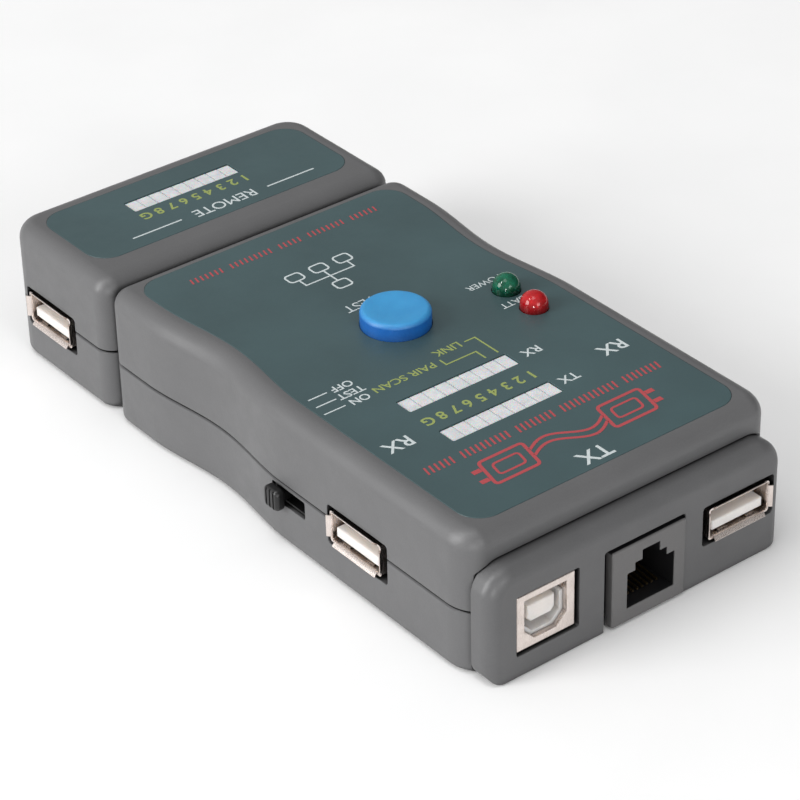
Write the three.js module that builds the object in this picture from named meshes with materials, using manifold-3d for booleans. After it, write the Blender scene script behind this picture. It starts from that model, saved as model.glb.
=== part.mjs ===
// Handheld network cable tester: a waisted main unit with a remote unit docked on its far end.
// Millimetres. +X is the side with the mode switch, +Y the end with the transmit ports,
// +Z points out of the face, and z = 0 is the underside that the tester rests on.

import * as THREE from 'three';
import { mergeVertices } from 'three/addons/utils/BufferGeometryUtils.js';
import Module from 'manifold-3d';

const wasm = await Module();
wasm.setup();

// ---- Driving dimensions -------------------------------------------------------------------

const UNIT_WIDTH = 64;
const UNIT_HEIGHT = 26.5;
const MAIN_LENGTH = 103;
const REMOTE_LENGTH = 31.2;
const DOCK_GAP = 0.8;
const WALL = 2;
const GAP = 0.3;
const TOTAL_LENGTH = MAIN_LENGTH + DOCK_GAP + REMOTE_LENGTH;

// Every place along the tester is counted from the outer face of its port end.
const alongY = (distance) => TOTAL_LENGTH / 2 - distance;

const HALF_WIDTH = UNIT_WIDTH / 2;
const PARTING_Z = 12;
const INNER_TOP = UNIT_HEIGHT - WALL;
const TOP_FILLET = 3.2;
const BOTTOM_FILLET = 1.6;
// Solids that cut or join run past what they meet: far past it, a little past it, or into it.
const BELOW = -5;
const ABOVE = UNIT_HEIGHT + 10;
const PAST = 1;
const ROOTED = 0.5;

const WAIST = { centre: 72, halfLength: 20, depth: 1.8, steps: 10 };
const PORT_CORNER = { x: 3.9, y: 5.4 };
const DOCK_CORNER = { x: 3.6, y: 3.6 };
const REMOTE_END_CORNER = { x: 5.5, y: 5.5 };
const ROUND_STEPS = 4;
const SMALL_SIDES = 12;

const SHELL_END = 4.1;
const SEAM = 5.3;
const PORT_OPENING_DEPTH = 12;
const BEZEL = { halfWidth: 31.1, top: 21, topCorner: 5, heelCorner: 3.2, frontFillet: 2.6 };

const BOARD = { bottom: 15.5, top: 17.1 };
const REMOTE_BOARD = { near: 113, far: 131.5, halfWidth: 28 };
const PART_ON_BOARD = BOARD.top + GAP;

const LABEL = { bottom: UNIT_HEIGHT - 0.3, top: UNIT_HEIGHT + 0.05, recess: 0.5, sideGap: 0.25 };
const MAIN_LABEL = { near: 7.2, far: 99.9, halfWidth: 28.1, corner: 4.5 };
const REMOTE_LABEL = { near: 110.5, far: 130.9, halfWidth: 28.1, corner: 4.5 };

const BAR = { length: 23, width: 3.75, top: UNIT_HEIGHT - 0.15 };
const TX_BAR = { x: 4.5, distance: 29.1 };
const RX_BAR = { x: 4.5, distance: 40.15 };
const REMOTE_BAR = { x: 1.4, distance: 123.7 };

const LED = { radius: 2.5, flange: 2.9, flangeHeight: 1, shoulder: UNIT_HEIGHT + 0.7 };
const RED_LED = { x: -20.3, distance: 50.2 };
const GREEN_LED = { x: -20.4, distance: 57.7 };

const BUTTON = { x: 0.8, distance: 61.4, radius: 6.15, top: UNIT_HEIGHT + 3.1, bottom: 22.3 };
const BUTTON_FLANGE = { radius: 7.2, top: 23.3 };
const BUTTON_EDGE = 0.9;
const CHIP = { xLow: -16.2, xHigh: -9.2, near: 38, far: 63, height: 3.2 };
const TACT = { side: 12, top: 20.8, wellRadius: 3.3, wellFloor: 18.2 };
const PLUNGER = { radius: 3, bottom: 19.2, top: 22 };

const MODE_SLOT = { distance: 51, length: 9, bottom: 7.9, top: 11.3 };
const MODE_HEAD = {
  length: 4,
  bottom: 7.4,
  top: 11.5,
  reach: 2.1,
  corner: 0.8,
  fillet: 0.6,
  restFromEnd: 0.2,
};
const MODE_NECK = { length: 2.4, height: 1.4 };
const MODE_SLIDER = { length: 6, height: 2.6, inner: 25.3, outer: 28.6 };
const MODE_BODY = { inner: 23.3, outer: 29.2, length: 12.4, bottom: 6.9, top: 12.9, endWall: 0.4 };
const MODE_COLLAR = { wall: 0.4, sunk: 0.6 };

// Each hole runs on past its socket towards the corner by the switch.
const USB_A_HOLE = { width: 15.6, height: 7.6, offset: 0.4 };
// The lip is turned out on each side, and notched at its corners.
const USB_A_LIP = { width: 14.2, height: 6.8, thickness: 0.5, notchAcross: 1.5, notchUp: 1.3 };
const USB_A_TUBE = { width: 13.2, height: 5.9, wall: 0.4, depth: 14, back: 1 };
const USB_A_TONGUE = { width: 11.1, thickness: 1.8, aboveFloor: 0.75, setBack: 1, root: 3 };
const USB_A_PROUD = 0.6;
const USB_END = { x: -21.2, z: 11 };
const USB_SIDE = { distance: 32.8, z: 10.8 };
const USB_REMOTE = { distance: 122.7, z: 10.8 };

const USB_B = { x: 19.6, z: 9.9, width: 12, height: 10.6, depth: 16, wall: 1.1, sunk: 0.3 };
const USB_B_MOUTH = { width: 8.5, height: 7.8, chamfer: 2 };
const USB_B_TONGUE = { width: 5.6, height: 3.2, setBack: 1.2, root: 2, rootHeight: 4.2 };
// The socket stands a little high in its hole, and towards +X.
const USB_B_HOLE = { gap: 0.6, offset: -0.25 };

const JACK = { width: 15.6, bottom: 2.3, top: 15.1, depth: 18, proud: 0.4 };
const JACK_MOUTH = [
  { width: 10, top: 9.8 },
  { width: 6.7, top: 11.3 },
  { width: 3.7, top: 13.1 },
];
const JACK_MOUTH_OFFSET = -0.4;
const JACK_MOUTH_BOTTOM = 3;
const JACK_MOUTH_DEPTH = 14;
const JACK_STEP_OVERLAP = 0.2;
const JACK_CONTACTS = {
  count: 8,
  pitch: 1.02,
  width: 0.4,
  low: 3.3,
  high: 4.5,
  thickness: 0.35,
  front: -2.5,
  barDepth: 1.2,
};
const JACK_PLATE = { bottom: 0.4, thickness: 1.6, gapBySwitch: 1.3 };
const TX_JACK = { x: -1.4 };
const RX_JACK = { distance: 33.5 };
const REMOTE_JACK = { distance: 121 };

const POST = {
  radius: 3.4,
  bossRadius: 2.4,
  headRecess: 2.7,
  recessDepth: 3,
  holeRadius: 1.5,
  tipRoom: 1,
};
const SCREW = {
  headRadius: 2.4,
  headEdge: 0.4,
  headBottom: 1,
  headTop: 2.7,
  radius: 1.2,
  tip: 18,
  pointLength: 1.5,
};
const MAIN_SCREWS = [
  { x: 26.6, distance: 21 },
  { x: -26.6, distance: 21 },
  { x: 24.6, distance: 68.5 },
  { x: -24.6, distance: 68.5 },
];
const REMOTE_SCREWS = [
  { x: 20, distance: 109.6 },
  { x: -20, distance: 109.6 },
];

const BOARD_BOSS = { radius: 2.2, holeRadius: 1.2, holeTop: 22.5 };
const BOARD_SCREW = { headRadius: 2, headHeight: 1, radius: 0.9, tip: 21.5 };
const MAIN_BOARD_SCREWS = [
  { x: -6, distance: 22.5 },
  { x: 19.5, distance: 59 },
];
const REMOTE_BOARD_SCREW = { x: 0, distance: 117.2 };

const DOOR = { near: 72.2, far: 99.8, halfWidth: 26.6, thickness: 1.8, corner: 1.2 };
const DOOR_GRIP = { count: 5, pitch: 2.2, width: 0.9, depth: 0.5, halfLength: 9, first: 87 };
const BATTERY = { low: -26.8, length: 46.5, width: 26.2, height: 17.2, bottom: 2.4, distance: 86 };
const BATTERY_CORNER = 1.6;
const TERMINALS = [
  { radius: 2.9, offset: -6.35 },
  { radius: 3.9, offset: 6.35 },
];
const TERMINAL_HEIGHT = 1.9;
const SNAP = { thickness: 4, width: 25, height: 12.5 };
// A lead rises from the snap, leans over the battery wall and comes down onto the board.
const LEAD = { radius: 0.65, sides: 8, steps: 16, rise: 2.5, lean: 1.5, arch: BOARD.top + 4 };
const LEAD_TURN = { fromSnap: 4, distance: 67.5, fromBoard: 1 };
const LEAD_END = { distance: 65.5, straight: 2 };
const LEADS = {
  red: { snapDistance: 77.5, boardX: 18 },
  black: { snapDistance: 80.5, boardX: 15 },
};
const BATTERY_WALL = { distance: 70.7, thickness: 1.2, top: 14, halfWidth: 27 };

const RAIL = { neck: 4.4, neckDepth: 2.4, head: 9, headDepth: 1.6, bottom: 2.5, top: 19.5 };
const CHANNEL = { halfWidth: 6.6, depth: 6.2, top: 20, roof: 21.6 };

// ---- Solids -------------------------------------------------------------------------------

// A closed three.js geometry as a manifold solid, so that it can be joined and cut.
function solid(geometry) {
  geometry.deleteAttribute('normal');
  geometry.deleteAttribute('uv');
  const merged = mergeVertices(geometry, 1e-4);
  const mesh = new wasm.Mesh({
    numProp: 3,
    vertProperties: new Float32Array(merged.attributes.position.array),
    triVerts: new Uint32Array(merged.index.array),
  });
  return new wasm.Manifold(mesh);
}

// The reverse: a manifold solid as a three.js geometry with flat shading.
function geometryOf(body) {
  const mesh = body.getMesh();
  const geometry = new THREE.BufferGeometry();
  const positions = new THREE.BufferAttribute(new Float32Array(mesh.vertProperties), 3);
  geometry.setAttribute('position', positions);
  geometry.setIndex(new THREE.BufferAttribute(new Uint32Array(mesh.triVerts), 1));
  const flat = geometry.toNonIndexed();
  flat.computeVertexNormals();
  return flat;
}

function block(xLow, xHigh, yLow, yHigh, zLow, zHigh) {
  const geometry = new THREE.BoxGeometry(xHigh - xLow, yHigh - yLow, zHigh - zLow);
  geometry.translate((xLow + xHigh) / 2, (yLow + yHigh) / 2, (zLow + zHigh) / 2);
  return solid(geometry);
}

function upright(x, y, radius, zLow, zHigh, sides = 16) {
  const geometry = new THREE.CylinderGeometry(radius, radius, zHigh - zLow, sides);
  geometry.rotateX(Math.PI / 2);
  geometry.translate(x, y, (zLow + zHigh) / 2);
  return solid(geometry);
}

// A solid of revolution about Z from [radius, z] pairs that start and end on the axis.
function turned(profile, x, y, sides = 24) {
  const points = profile.map(([radius, z]) => new THREE.Vector2(radius, z));
  const geometry = new THREE.LatheGeometry(points, sides);
  geometry.rotateX(Math.PI / 2);
  geometry.translate(x, y, 0);
  return solid(geometry);
}

// An outline raised from zLow to zHigh, with both rims rounded by the fillet.
function raised(outline, zLow, zHigh, fillet = 0) {
  const geometry = new THREE.ExtrudeGeometry(new THREE.Shape(outline), {
    depth: zHigh - zLow - 2 * fillet,
    bevelEnabled: fillet > 0,
    bevelThickness: fillet,
    bevelSize: fillet,
    bevelOffset: -fillet,
    bevelSegments: 3,
  });
  geometry.translate(0, 0, zLow + fillet);
  return solid(geometry);
}

// An outline in X and Z, pushed back along -Y from yFront by a depth.
function pushedBack(outline, yFront, depth, fillet = 0) {
  const geometry = new THREE.ExtrudeGeometry(new THREE.Shape(outline), {
    depth: depth - 2 * fillet,
    bevelEnabled: fillet > 0,
    bevelThickness: fillet,
    bevelSize: fillet,
    bevelOffset: -fillet,
    bevelSegments: 3,
  });
  geometry.translate(0, 0, fillet);
  geometry.rotateX(Math.PI / 2);
  geometry.translate(0, yFront, 0);
  return solid(geometry);
}

// A quarter turn of an ellipse, from one angle to another in degrees.
function quarter(centreX, centreY, corner, startAngle, steps = ROUND_STEPS) {
  const points = [];
  for (let step = 0; step <= steps; step += 1) {
    const angle = THREE.MathUtils.degToRad(startAngle + (90 * step) / steps);
    const x = centreX + corner.x * Math.cos(angle);
    const y = centreY + corner.y * Math.sin(angle);
    points.push(new THREE.Vector2(x, y));
  }
  return points;
}

function roundedRectangle(xLow, xHigh, yLow, yHigh, radius, steps = ROUND_STEPS) {
  const corner = { x: radius, y: radius };
  return [
    ...quarter(xHigh - radius, yLow + radius, corner, -90, steps),
    ...quarter(xHigh - radius, yHigh - radius, corner, 0, steps),
    ...quarter(xLow + radius, yHigh - radius, corner, 90, steps),
    ...quarter(xLow + radius, yLow + radius, corner, 180, steps),
  ];
}

// How far each side of the main unit is drawn in, at a distance from the port end.
function waistAt(distance) {
  const phase = (distance - WAIST.centre) / WAIST.halfLength;
  if (Math.abs(phase) >= 1) {
    return 0;
  }
  return (WAIST.depth / 2) * (1 + Math.cos(Math.PI * phase));
}

// A plan outline, symmetric about X = 0, between two distances from the port end.
function planOutline(near, far, halfWidth, nearCorner, farCorner, waisted) {
  const side = quarter(halfWidth - farCorner.x, alongY(far) + farCorner.y, farCorner, -90);
  if (waisted) {
    for (let step = 1; step < WAIST.steps; step += 1) {
      const phase = 1 - (2 * step) / WAIST.steps;
      const distance = WAIST.centre + WAIST.halfLength * phase;
      side.push(new THREE.Vector2(halfWidth - waistAt(distance), alongY(distance)));
    }
  }
  side.push(...quarter(halfWidth - nearCorner.x, alongY(near) - nearCorner.y, nearCorner, 0));
  const otherSide = side.map((point) => new THREE.Vector2(-point.x, point.y)).reverse();
  return [...side, ...otherSide];
}

const shrunk = (corner, inset) => ({ x: corner.x - inset, y: corner.y - inset });

function mainOutline(inset) {
  return planOutline(
    SHELL_END + inset,
    MAIN_LENGTH - inset,
    HALF_WIDTH - inset,
    shrunk(PORT_CORNER, inset),
    shrunk(DOCK_CORNER, inset),
    true,
  );
}

function remoteOutline(inset) {
  return planOutline(
    MAIN_LENGTH + DOCK_GAP + inset,
    TOTAL_LENGTH - inset,
    HALF_WIDTH - inset,
    shrunk(DOCK_CORNER, inset),
    shrunk(REMOTE_END_CORNER, inset),
    false,
  );
}

function labelOutline(label, grow, waisted) {
  const corner = { x: label.corner + grow, y: label.corner + grow };
  return planOutline(
    label.near - grow,
    label.far + grow,
    label.halfWidth + grow,
    corner,
    corner,
    waisted,
  );
}

function joined(first, ...others) {
  return others.reduce((whole, piece) => whole.add(piece), first);
}

function without(whole, ...cuts) {
  return cuts.reduce((left, cut) => left.subtract(cut), whole);
}

// ---- Finishes -----------------------------------------------------------------------------

const material = (color, roughness, metalness = 0) =>
  new THREE.MeshStandardMaterial({ color, roughness, metalness });

const FINISH = {
  casing: material(0x77787a, 0.55),
  label: material(0x4b6165, 0.45),
  diffuser: material(0xe6e6ea, 0.35),
  redLens: material(0xa5141c, 0.15),
  greenLens: material(0x0f5a3a, 0.15),
  button: material(0x2f86d6, 0.4),
  blackPlastic: material(0x151515, 0.5),
  nickel: material(0xc9c4bb, 0.25, 1),
  whitePlastic: material(0xf0efe9, 0.4),
  jackPlastic: material(0x5e6064, 0.5),
  gold: material(0xd4a64a, 0.25, 1),
  board: material(0x1f5a3a, 0.5),
  steel: material(0x8d8f92, 0.35, 1),
  batteryJacket: material(0x2b2d33, 0.35),
  redLead: material(0xb3221f, 0.5),
  blackLead: material(0x17181a, 0.5),
};

const tester = new THREE.Group();

function addPart(name, body, finish, parent = tester) {
  const mesh = new THREE.Mesh(geometryOf(body), finish);
  mesh.name = name;
  parent.add(mesh);
}

// ---- Casings ------------------------------------------------------------------------------

const barWindow = (bar) =>
  block(
    bar.x - BAR.length / 2 - GAP,
    bar.x + BAR.length / 2 + GAP,
    alongY(bar.distance) - BAR.width / 2 - GAP,
    alongY(bar.distance) + BAR.width / 2 + GAP,
    INNER_TOP - PAST,
    ABOVE,
  );

const lampHole = (lamp) =>
  upright(lamp.x, alongY(lamp.distance), LED.radius + GAP, INNER_TOP - PAST, ABOVE);

const buttonHole = () =>
  upright(BUTTON.x, alongY(BUTTON.distance), BUTTON.radius + GAP, INNER_TOP - PAST, ABOVE, 24);

// The hole in a side wall for a side-facing socket; side is +1 or -1.
const sideHole = (side, y, width, bottom, top) =>
  block(
    side > 0 ? HALF_WIDTH - 2 * WALL : -HALF_WIDTH - PAST,
    side > 0 ? HALF_WIDTH + PAST : -HALF_WIDTH + 2 * WALL,
    y - width / 2,
    y + width / 2,
    bottom,
    top,
  );

const usbSideHole = (socket) =>
  sideHole(
    1,
    alongY(socket.distance) + USB_A_HOLE.offset,
    USB_A_HOLE.width,
    socket.z - USB_A_HOLE.height / 2,
    socket.z + USB_A_HOLE.height / 2,
  );

const jackSideHole = (socket) =>
  sideHole(-1, alongY(socket.distance), JACK.width + 2 * GAP, JACK.bottom - GAP, JACK.top + GAP);

// A plain upright post or hole at a screw.
const atScrew = (screw, radius, zLow, zHigh, sides = SMALL_SIDES) =>
  upright(screw.x, alongY(screw.distance), radius, zLow, zHigh, sides);

const topBoss = (screw) =>
  without(
    atScrew(screw, POST.bossRadius, PARTING_Z + GAP, INNER_TOP + ROOTED),
    atScrew(screw, POST.holeRadius, BELOW, SCREW.tip + POST.tipRoom),
  );

// A post from the inside of the face down to the circuit board that is screwed onto it.
const boardBoss = (screw) =>
  without(
    atScrew(screw, BOARD_BOSS.radius, PART_ON_BOARD, INNER_TOP + ROOTED),
    atScrew(screw, BOARD_BOSS.holeRadius, BELOW, BOARD_BOSS.holeTop),
  );

const bottomPost = (screw) =>
  atScrew(screw, POST.radius, WALL - ROOTED, PARTING_Z - GAP, 2 * SMALL_SIDES);

const screwPassage = (screw) =>
  joined(
    atScrew(screw, POST.headRecess, BELOW, POST.recessDepth, 2 * SMALL_SIDES),
    atScrew(screw, POST.holeRadius, BELOW, PARTING_Z + PAST),
  );

// The tee rail on the far wall of the main unit, between two heights. Grown by a clearance
// it is also the channel that the remote unit slides over it with.
function teeRail(zLow, zHigh, clearance) {
  const wallY = alongY(MAIN_LENGTH) + ROOTED;
  const neckEnd = alongY(MAIN_LENGTH + RAIL.neckDepth);
  const headEnd = neckEnd - RAIL.headDepth;
  const neckHalf = RAIL.neck / 2 + clearance;
  const headHalf = RAIL.head / 2 + clearance;
  return joined(
    block(-neckHalf, neckHalf, neckEnd, wallY, zLow, zHigh),
    block(-headHalf, headHalf, headEnd - clearance, neckEnd + clearance, zLow, zHigh),
  );
}

// The end piece in X and Z, with small corners at its foot and larger ones at its top.
function bezelOutline(grow, foot = -grow) {
  const heel = BEZEL.heelCorner + grow;
  const shoulder = BEZEL.topCorner + grow;
  const half = BEZEL.halfWidth + grow;
  const top = BEZEL.top + grow;
  return [
    ...quarter(half - heel, foot + heel, { x: heel, y: heel }, -90),
    ...quarter(half - shoulder, top - shoulder, { x: shoulder, y: shoulder }, 0),
    ...quarter(-half + shoulder, top - shoulder, { x: shoulder, y: shoulder }, 90),
    ...quarter(-half + heel, foot + heel, { x: heel, y: heel }, 180),
  ];
}

// Everything of a casing above or below the parting line, which leaves half the gap each side.
const upperSpace = () =>
  block(-HALF_WIDTH * 2, HALF_WIDTH * 2, -TOTAL_LENGTH, TOTAL_LENGTH, PARTING_Z + GAP / 2, ABOVE);
const lowerSpace = () =>
  block(-HALF_WIDTH * 2, HALF_WIDTH * 2, -TOTAL_LENGTH, TOTAL_LENGTH, BELOW, PARTING_Z - GAP / 2);

function makeMainTopShell() {
  const outer = raised(mainOutline(0), BELOW, UNIT_HEIGHT, TOP_FILLET).intersect(upperSpace());
  const inner = raised(mainOutline(WALL), BELOW, INNER_TOP);
  const portOpening = pushedBack(bezelOutline(-WALL), alongY(0), PORT_OPENING_DEPTH);
  const seamCut = pushedBack(bezelOutline(GAP), alongY(-PAST), SEAM + PAST);
  const labelRecess = raised(
    labelOutline(MAIN_LABEL, LABEL.sideGap, true),
    UNIT_HEIGHT - LABEL.recess,
    ABOVE,
  );
  let shell = without(outer, inner, portOpening);
  shell = joined(
    shell,
    ...MAIN_SCREWS.map(topBoss),
    ...MAIN_BOARD_SCREWS.map(boardBoss),
    teeRail(PARTING_Z + GAP / 2, RAIL.top, 0),
  );
  return without(
    shell,
    seamCut,
    labelRecess,
    barWindow(TX_BAR),
    barWindow(RX_BAR),
    lampHole(RED_LED),
    lampHole(GREEN_LED),
    buttonHole(),
    usbSideHole(USB_SIDE),
    jackSideHole(RX_JACK),
  );
}

const doorOpening = () =>
  block(
    -DOOR.halfWidth,
    DOOR.halfWidth,
    alongY(DOOR.far),
    alongY(DOOR.near),
    BELOW,
    WALL + PAST,
  );

function makeMainBottomShell() {
  const outer = raised(mainOutline(0), 0, ABOVE, BOTTOM_FILLET).intersect(lowerSpace());
  const inner = raised(mainOutline(WALL), WALL, ABOVE);
  const portOpening = block(
    -HALF_WIDTH + 2 * WALL,
    HALF_WIDTH - 2 * WALL,
    alongY(PORT_OPENING_DEPTH),
    alongY(0),
    WALL,
    ABOVE,
  );
  const seamCut = block(
    -HALF_WIDTH - PAST,
    HALF_WIDTH + PAST,
    alongY(SEAM),
    alongY(-PAST),
    BELOW,
    ABOVE,
  );
  const batteryWall = block(
    -BATTERY_WALL.halfWidth,
    BATTERY_WALL.halfWidth,
    alongY(BATTERY_WALL.distance + BATTERY_WALL.thickness / 2),
    alongY(BATTERY_WALL.distance - BATTERY_WALL.thickness / 2),
    WALL - ROOTED,
    BATTERY_WALL.top,
  ).intersect(lowerSpace());
  const modeSlot = sideHole(
    1,
    alongY(MODE_SLOT.distance),
    MODE_SLOT.length,
    MODE_SLOT.bottom,
    MODE_SLOT.top,
  );
  const shell = joined(
    without(outer, inner, portOpening),
    batteryWall,
    ...MAIN_SCREWS.map(bottomPost),
    teeRail(RAIL.bottom, PARTING_Z - GAP / 2, 0),
  );
  return without(
    shell,
    seamCut,
    doorOpening(),
    ...MAIN_SCREWS.map(screwPassage),
    modeSlot,
    usbSideHole(USB_SIDE),
    jackSideHole(RX_JACK),
  );
}

function makePortBezel() {
  const through = [alongY(SEAM + PAST), alongY(-PAST)];
  // The front edge is rounded at the top and sides, and square along the foot.
  const fronted = pushedBack(bezelOutline(0, BELOW), alongY(0), 2 * SEAM, BEZEL.frontFillet);
  const outer = pushedBack(bezelOutline(0), alongY(0), SEAM - GAP).intersect(fronted);
  const hollow = pushedBack(bezelOutline(-WALL), alongY(WALL), SEAM);
  const usbAX = USB_END.x + USB_A_HOLE.offset;
  const usbAHole = block(
    usbAX - USB_A_HOLE.width / 2,
    usbAX + USB_A_HOLE.width / 2,
    ...through,
    USB_END.z - USB_A_HOLE.height / 2,
    USB_END.z + USB_A_HOLE.height / 2,
  );
  const usbBX = USB_B.x + USB_B_HOLE.offset;
  const usbBZ = USB_B.z + USB_B_HOLE.offset;
  const usbBHole = block(
    usbBX - USB_B.width / 2 - USB_B_HOLE.gap,
    usbBX + USB_B.width / 2 + USB_B_HOLE.gap,
    ...through,
    usbBZ - USB_B.height / 2 - USB_B_HOLE.gap,
    usbBZ + USB_B.height / 2 + USB_B_HOLE.gap,
  );
  const jackHole = block(
    TX_JACK.x - JACK.width / 2 - GAP,
    TX_JACK.x + JACK.width / 2 + JACK_PLATE.gapBySwitch,
    ...through,
    BELOW,
    JACK.top + 2 * GAP,
  );
  return without(outer, hollow, usbAHole, usbBHole, jackHole);
}

// The block inside the remote unit's near wall that holds its half of the rail's channel.
function channelBlock(zLow, zHigh) {
  const wallY = alongY(MAIN_LENGTH + DOCK_GAP + ROOTED);
  return block(-CHANNEL.halfWidth, CHANNEL.halfWidth, wallY - CHANNEL.depth, wallY, zLow, zHigh);
}

function makeRemoteTopShell() {
  const outer = raised(remoteOutline(0), BELOW, UNIT_HEIGHT, TOP_FILLET).intersect(upperSpace());
  const inner = raised(remoteOutline(WALL), BELOW, INNER_TOP);
  const labelRecess = raised(
    labelOutline(REMOTE_LABEL, LABEL.sideGap, false),
    UNIT_HEIGHT - LABEL.recess,
    ABOVE,
  );
  const shell = joined(
    without(outer, inner),
    channelBlock(PARTING_Z + GAP / 2, CHANNEL.roof),
    ...REMOTE_SCREWS.map(topBoss),
    boardBoss(REMOTE_BOARD_SCREW),
  );
  return without(
    shell,
    teeRail(BELOW, CHANNEL.top, GAP),
    labelRecess,
    barWindow(REMOTE_BAR),
    usbSideHole(USB_REMOTE),
    jackSideHole(REMOTE_JACK),
  );
}

function makeRemoteBottomShell() {
  const outer = raised(remoteOutline(0), 0, ABOVE, BOTTOM_FILLET).intersect(lowerSpace());
  const inner = raised(remoteOutline(WALL), WALL, ABOVE);
  const shell = joined(
    without(outer, inner),
    channelBlock(WALL - ROOTED, PARTING_Z - GAP / 2),
    ...REMOTE_SCREWS.map(bottomPost),
  );
  return without(
    shell,
    teeRail(BELOW, CHANNEL.top, GAP),
    ...REMOTE_SCREWS.map(screwPassage),
    usbSideHole(USB_REMOTE),
    jackSideHole(REMOTE_JACK),
  );
}

function makeLabel(label, waisted, windows) {
  const film = raised(labelOutline(label, 0, waisted), LABEL.bottom, LABEL.top);
  return without(film, ...windows);
}

addPart('main_top_shell', makeMainTopShell(), FINISH.casing);
addPart('main_bottom_shell', makeMainBottomShell(), FINISH.casing);
addPart('port_bezel', makePortBezel(), FINISH.casing);
addPart(
  'face_label',
  makeLabel(MAIN_LABEL, true, [
    barWindow(TX_BAR),
    barWindow(RX_BAR),
    lampHole(RED_LED),
    lampHole(GREEN_LED),
    buttonHole(),
  ]),
  FINISH.label,
);
addPart('remote_top_shell', makeRemoteTopShell(), FINISH.casing);
addPart('remote_bottom_shell', makeRemoteBottomShell(), FINISH.casing);
addPart(
  'remote_label',
  makeLabel(REMOTE_LABEL, false, [barWindow(REMOTE_BAR)]),
  FINISH.label,
);

// ---- Battery, its door and its leads ------------------------------------------------------

function makeBatteryDoor() {
  const plate = raised(
    roundedRectangle(
      -DOOR.halfWidth + GAP,
      DOOR.halfWidth - GAP,
      alongY(DOOR.far) + GAP,
      alongY(DOOR.near) - GAP,
      DOOR.corner,
      2,
    ),
    0,
    DOOR.thickness,
  );
  const grooves = [];
  for (let index = 0; index < DOOR_GRIP.count; index += 1) {
    const y = alongY(DOOR_GRIP.first + index * DOOR_GRIP.pitch);
    grooves.push(
      block(
        -DOOR_GRIP.halfLength,
        DOOR_GRIP.halfLength,
        y - DOOR_GRIP.width / 2,
        y + DOOR_GRIP.width / 2,
        BELOW,
        DOOR_GRIP.depth,
      ),
    );
  }
  return without(plate, ...grooves);
}

const batteryHigh = BATTERY.low + BATTERY.length;
const batteryMiddleZ = BATTERY.bottom + BATTERY.height / 2;

// The outline of the battery's end, drawn in X and Z and turned so that it runs along X.
function makeBattery() {
  const halfWidth = BATTERY.width / 2;
  const halfHeight = BATTERY.height / 2;
  const outline = roundedRectangle(
    -halfWidth,
    halfWidth,
    -halfHeight,
    halfHeight,
    BATTERY_CORNER,
    3,
  );
  const geometry = new THREE.ExtrudeGeometry(new THREE.Shape(outline), {
    depth: BATTERY.length,
    bevelEnabled: false,
  });
  geometry.rotateX(Math.PI / 2);
  geometry.rotateZ(Math.PI / 2);
  geometry.translate(BATTERY.low, alongY(BATTERY.distance), batteryMiddleZ);
  const terminals = TERMINALS.map((terminal) => {
    const post = new THREE.CylinderGeometry(
      terminal.radius,
      terminal.radius,
      TERMINAL_HEIGHT + ROOTED,
      SMALL_SIDES,
    );
    post.rotateZ(Math.PI / 2);
    post.translate(
      batteryHigh + (TERMINAL_HEIGHT - ROOTED) / 2,
      alongY(BATTERY.distance) + terminal.offset,
      batteryMiddleZ,
    );
    return solid(post);
  });
  return joined(solid(geometry), ...terminals);
}

const snapLow = batteryHigh + TERMINAL_HEIGHT + GAP;

function makeBatterySnap() {
  return block(
    snapLow,
    snapLow + SNAP.thickness,
    alongY(BATTERY.distance) - SNAP.width / 2,
    alongY(BATTERY.distance) + SNAP.width / 2,
    batteryMiddleZ - SNAP.height / 2,
    batteryMiddleZ + SNAP.height / 2,
  );
}

// A lead from the top of the battery snap, over the battery wall, down onto the circuit board.
function makeLead({ snapDistance, boardX }) {
  const snapTop = batteryMiddleZ + SNAP.height / 2;
  const snapX = snapLow + SNAP.thickness / 2;
  const points = [
    new THREE.Vector3(snapX, alongY(snapDistance), snapTop + GAP),
    new THREE.Vector3(snapX, alongY(snapDistance), snapTop + LEAD.rise),
    new THREE.Vector3(snapX - LEAD.lean, alongY(snapDistance - LEAD_TURN.fromSnap), LEAD.arch),
    new THREE.Vector3(boardX + LEAD_TURN.fromBoard, alongY(LEAD_TURN.distance), LEAD.arch),
    new THREE.Vector3(boardX, alongY(LEAD_END.distance), BOARD.top + LEAD_END.straight),
    new THREE.Vector3(boardX, alongY(LEAD_END.distance), PART_ON_BOARD),
  ];
  const section = [];
  for (let side = 0; side < LEAD.sides; side += 1) {
    const angle = (2 * Math.PI * side) / LEAD.sides;
    section.push(new THREE.Vector2(LEAD.radius * Math.cos(angle), LEAD.radius * Math.sin(angle)));
  }
  const geometry = new THREE.ExtrudeGeometry(new THREE.Shape(section), {
    steps: LEAD.steps,
    extrudePath: new THREE.CatmullRomCurve3(points),
  });
  return solid(geometry);
}

addPart('battery_door', makeBatteryDoor(), FINISH.casing);
addPart('battery_9v', makeBattery(), FINISH.batteryJacket);
addPart('battery_snap', makeBatterySnap(), FINISH.blackPlastic);
addPart('battery_lead_red', makeLead(LEADS.red), FINISH.redLead);
addPart('battery_lead_black', makeLead(LEADS.black), FINISH.blackLead);

// ---- Circuit boards and what stands on them -----------------------------------------------

// Half of the main board's outline as [x, distance] steps: narrow between the front screw
// bosses, wide by the sockets and the mode switch, and narrow again between the rear bosses.
const BOARD_STEPS = [
  [21.6, 69],
  [21.6, 64.5],
  [23.6, 64.5],
  [23.6, 60],
  [28.6, 60],
  [28.6, 25.5],
  [23.6, 25.5],
  [23.6, 6.4],
];

const boardHole = (screw) => atScrew(screw, BOARD_BOSS.holeRadius, BELOW, ABOVE);

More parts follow.
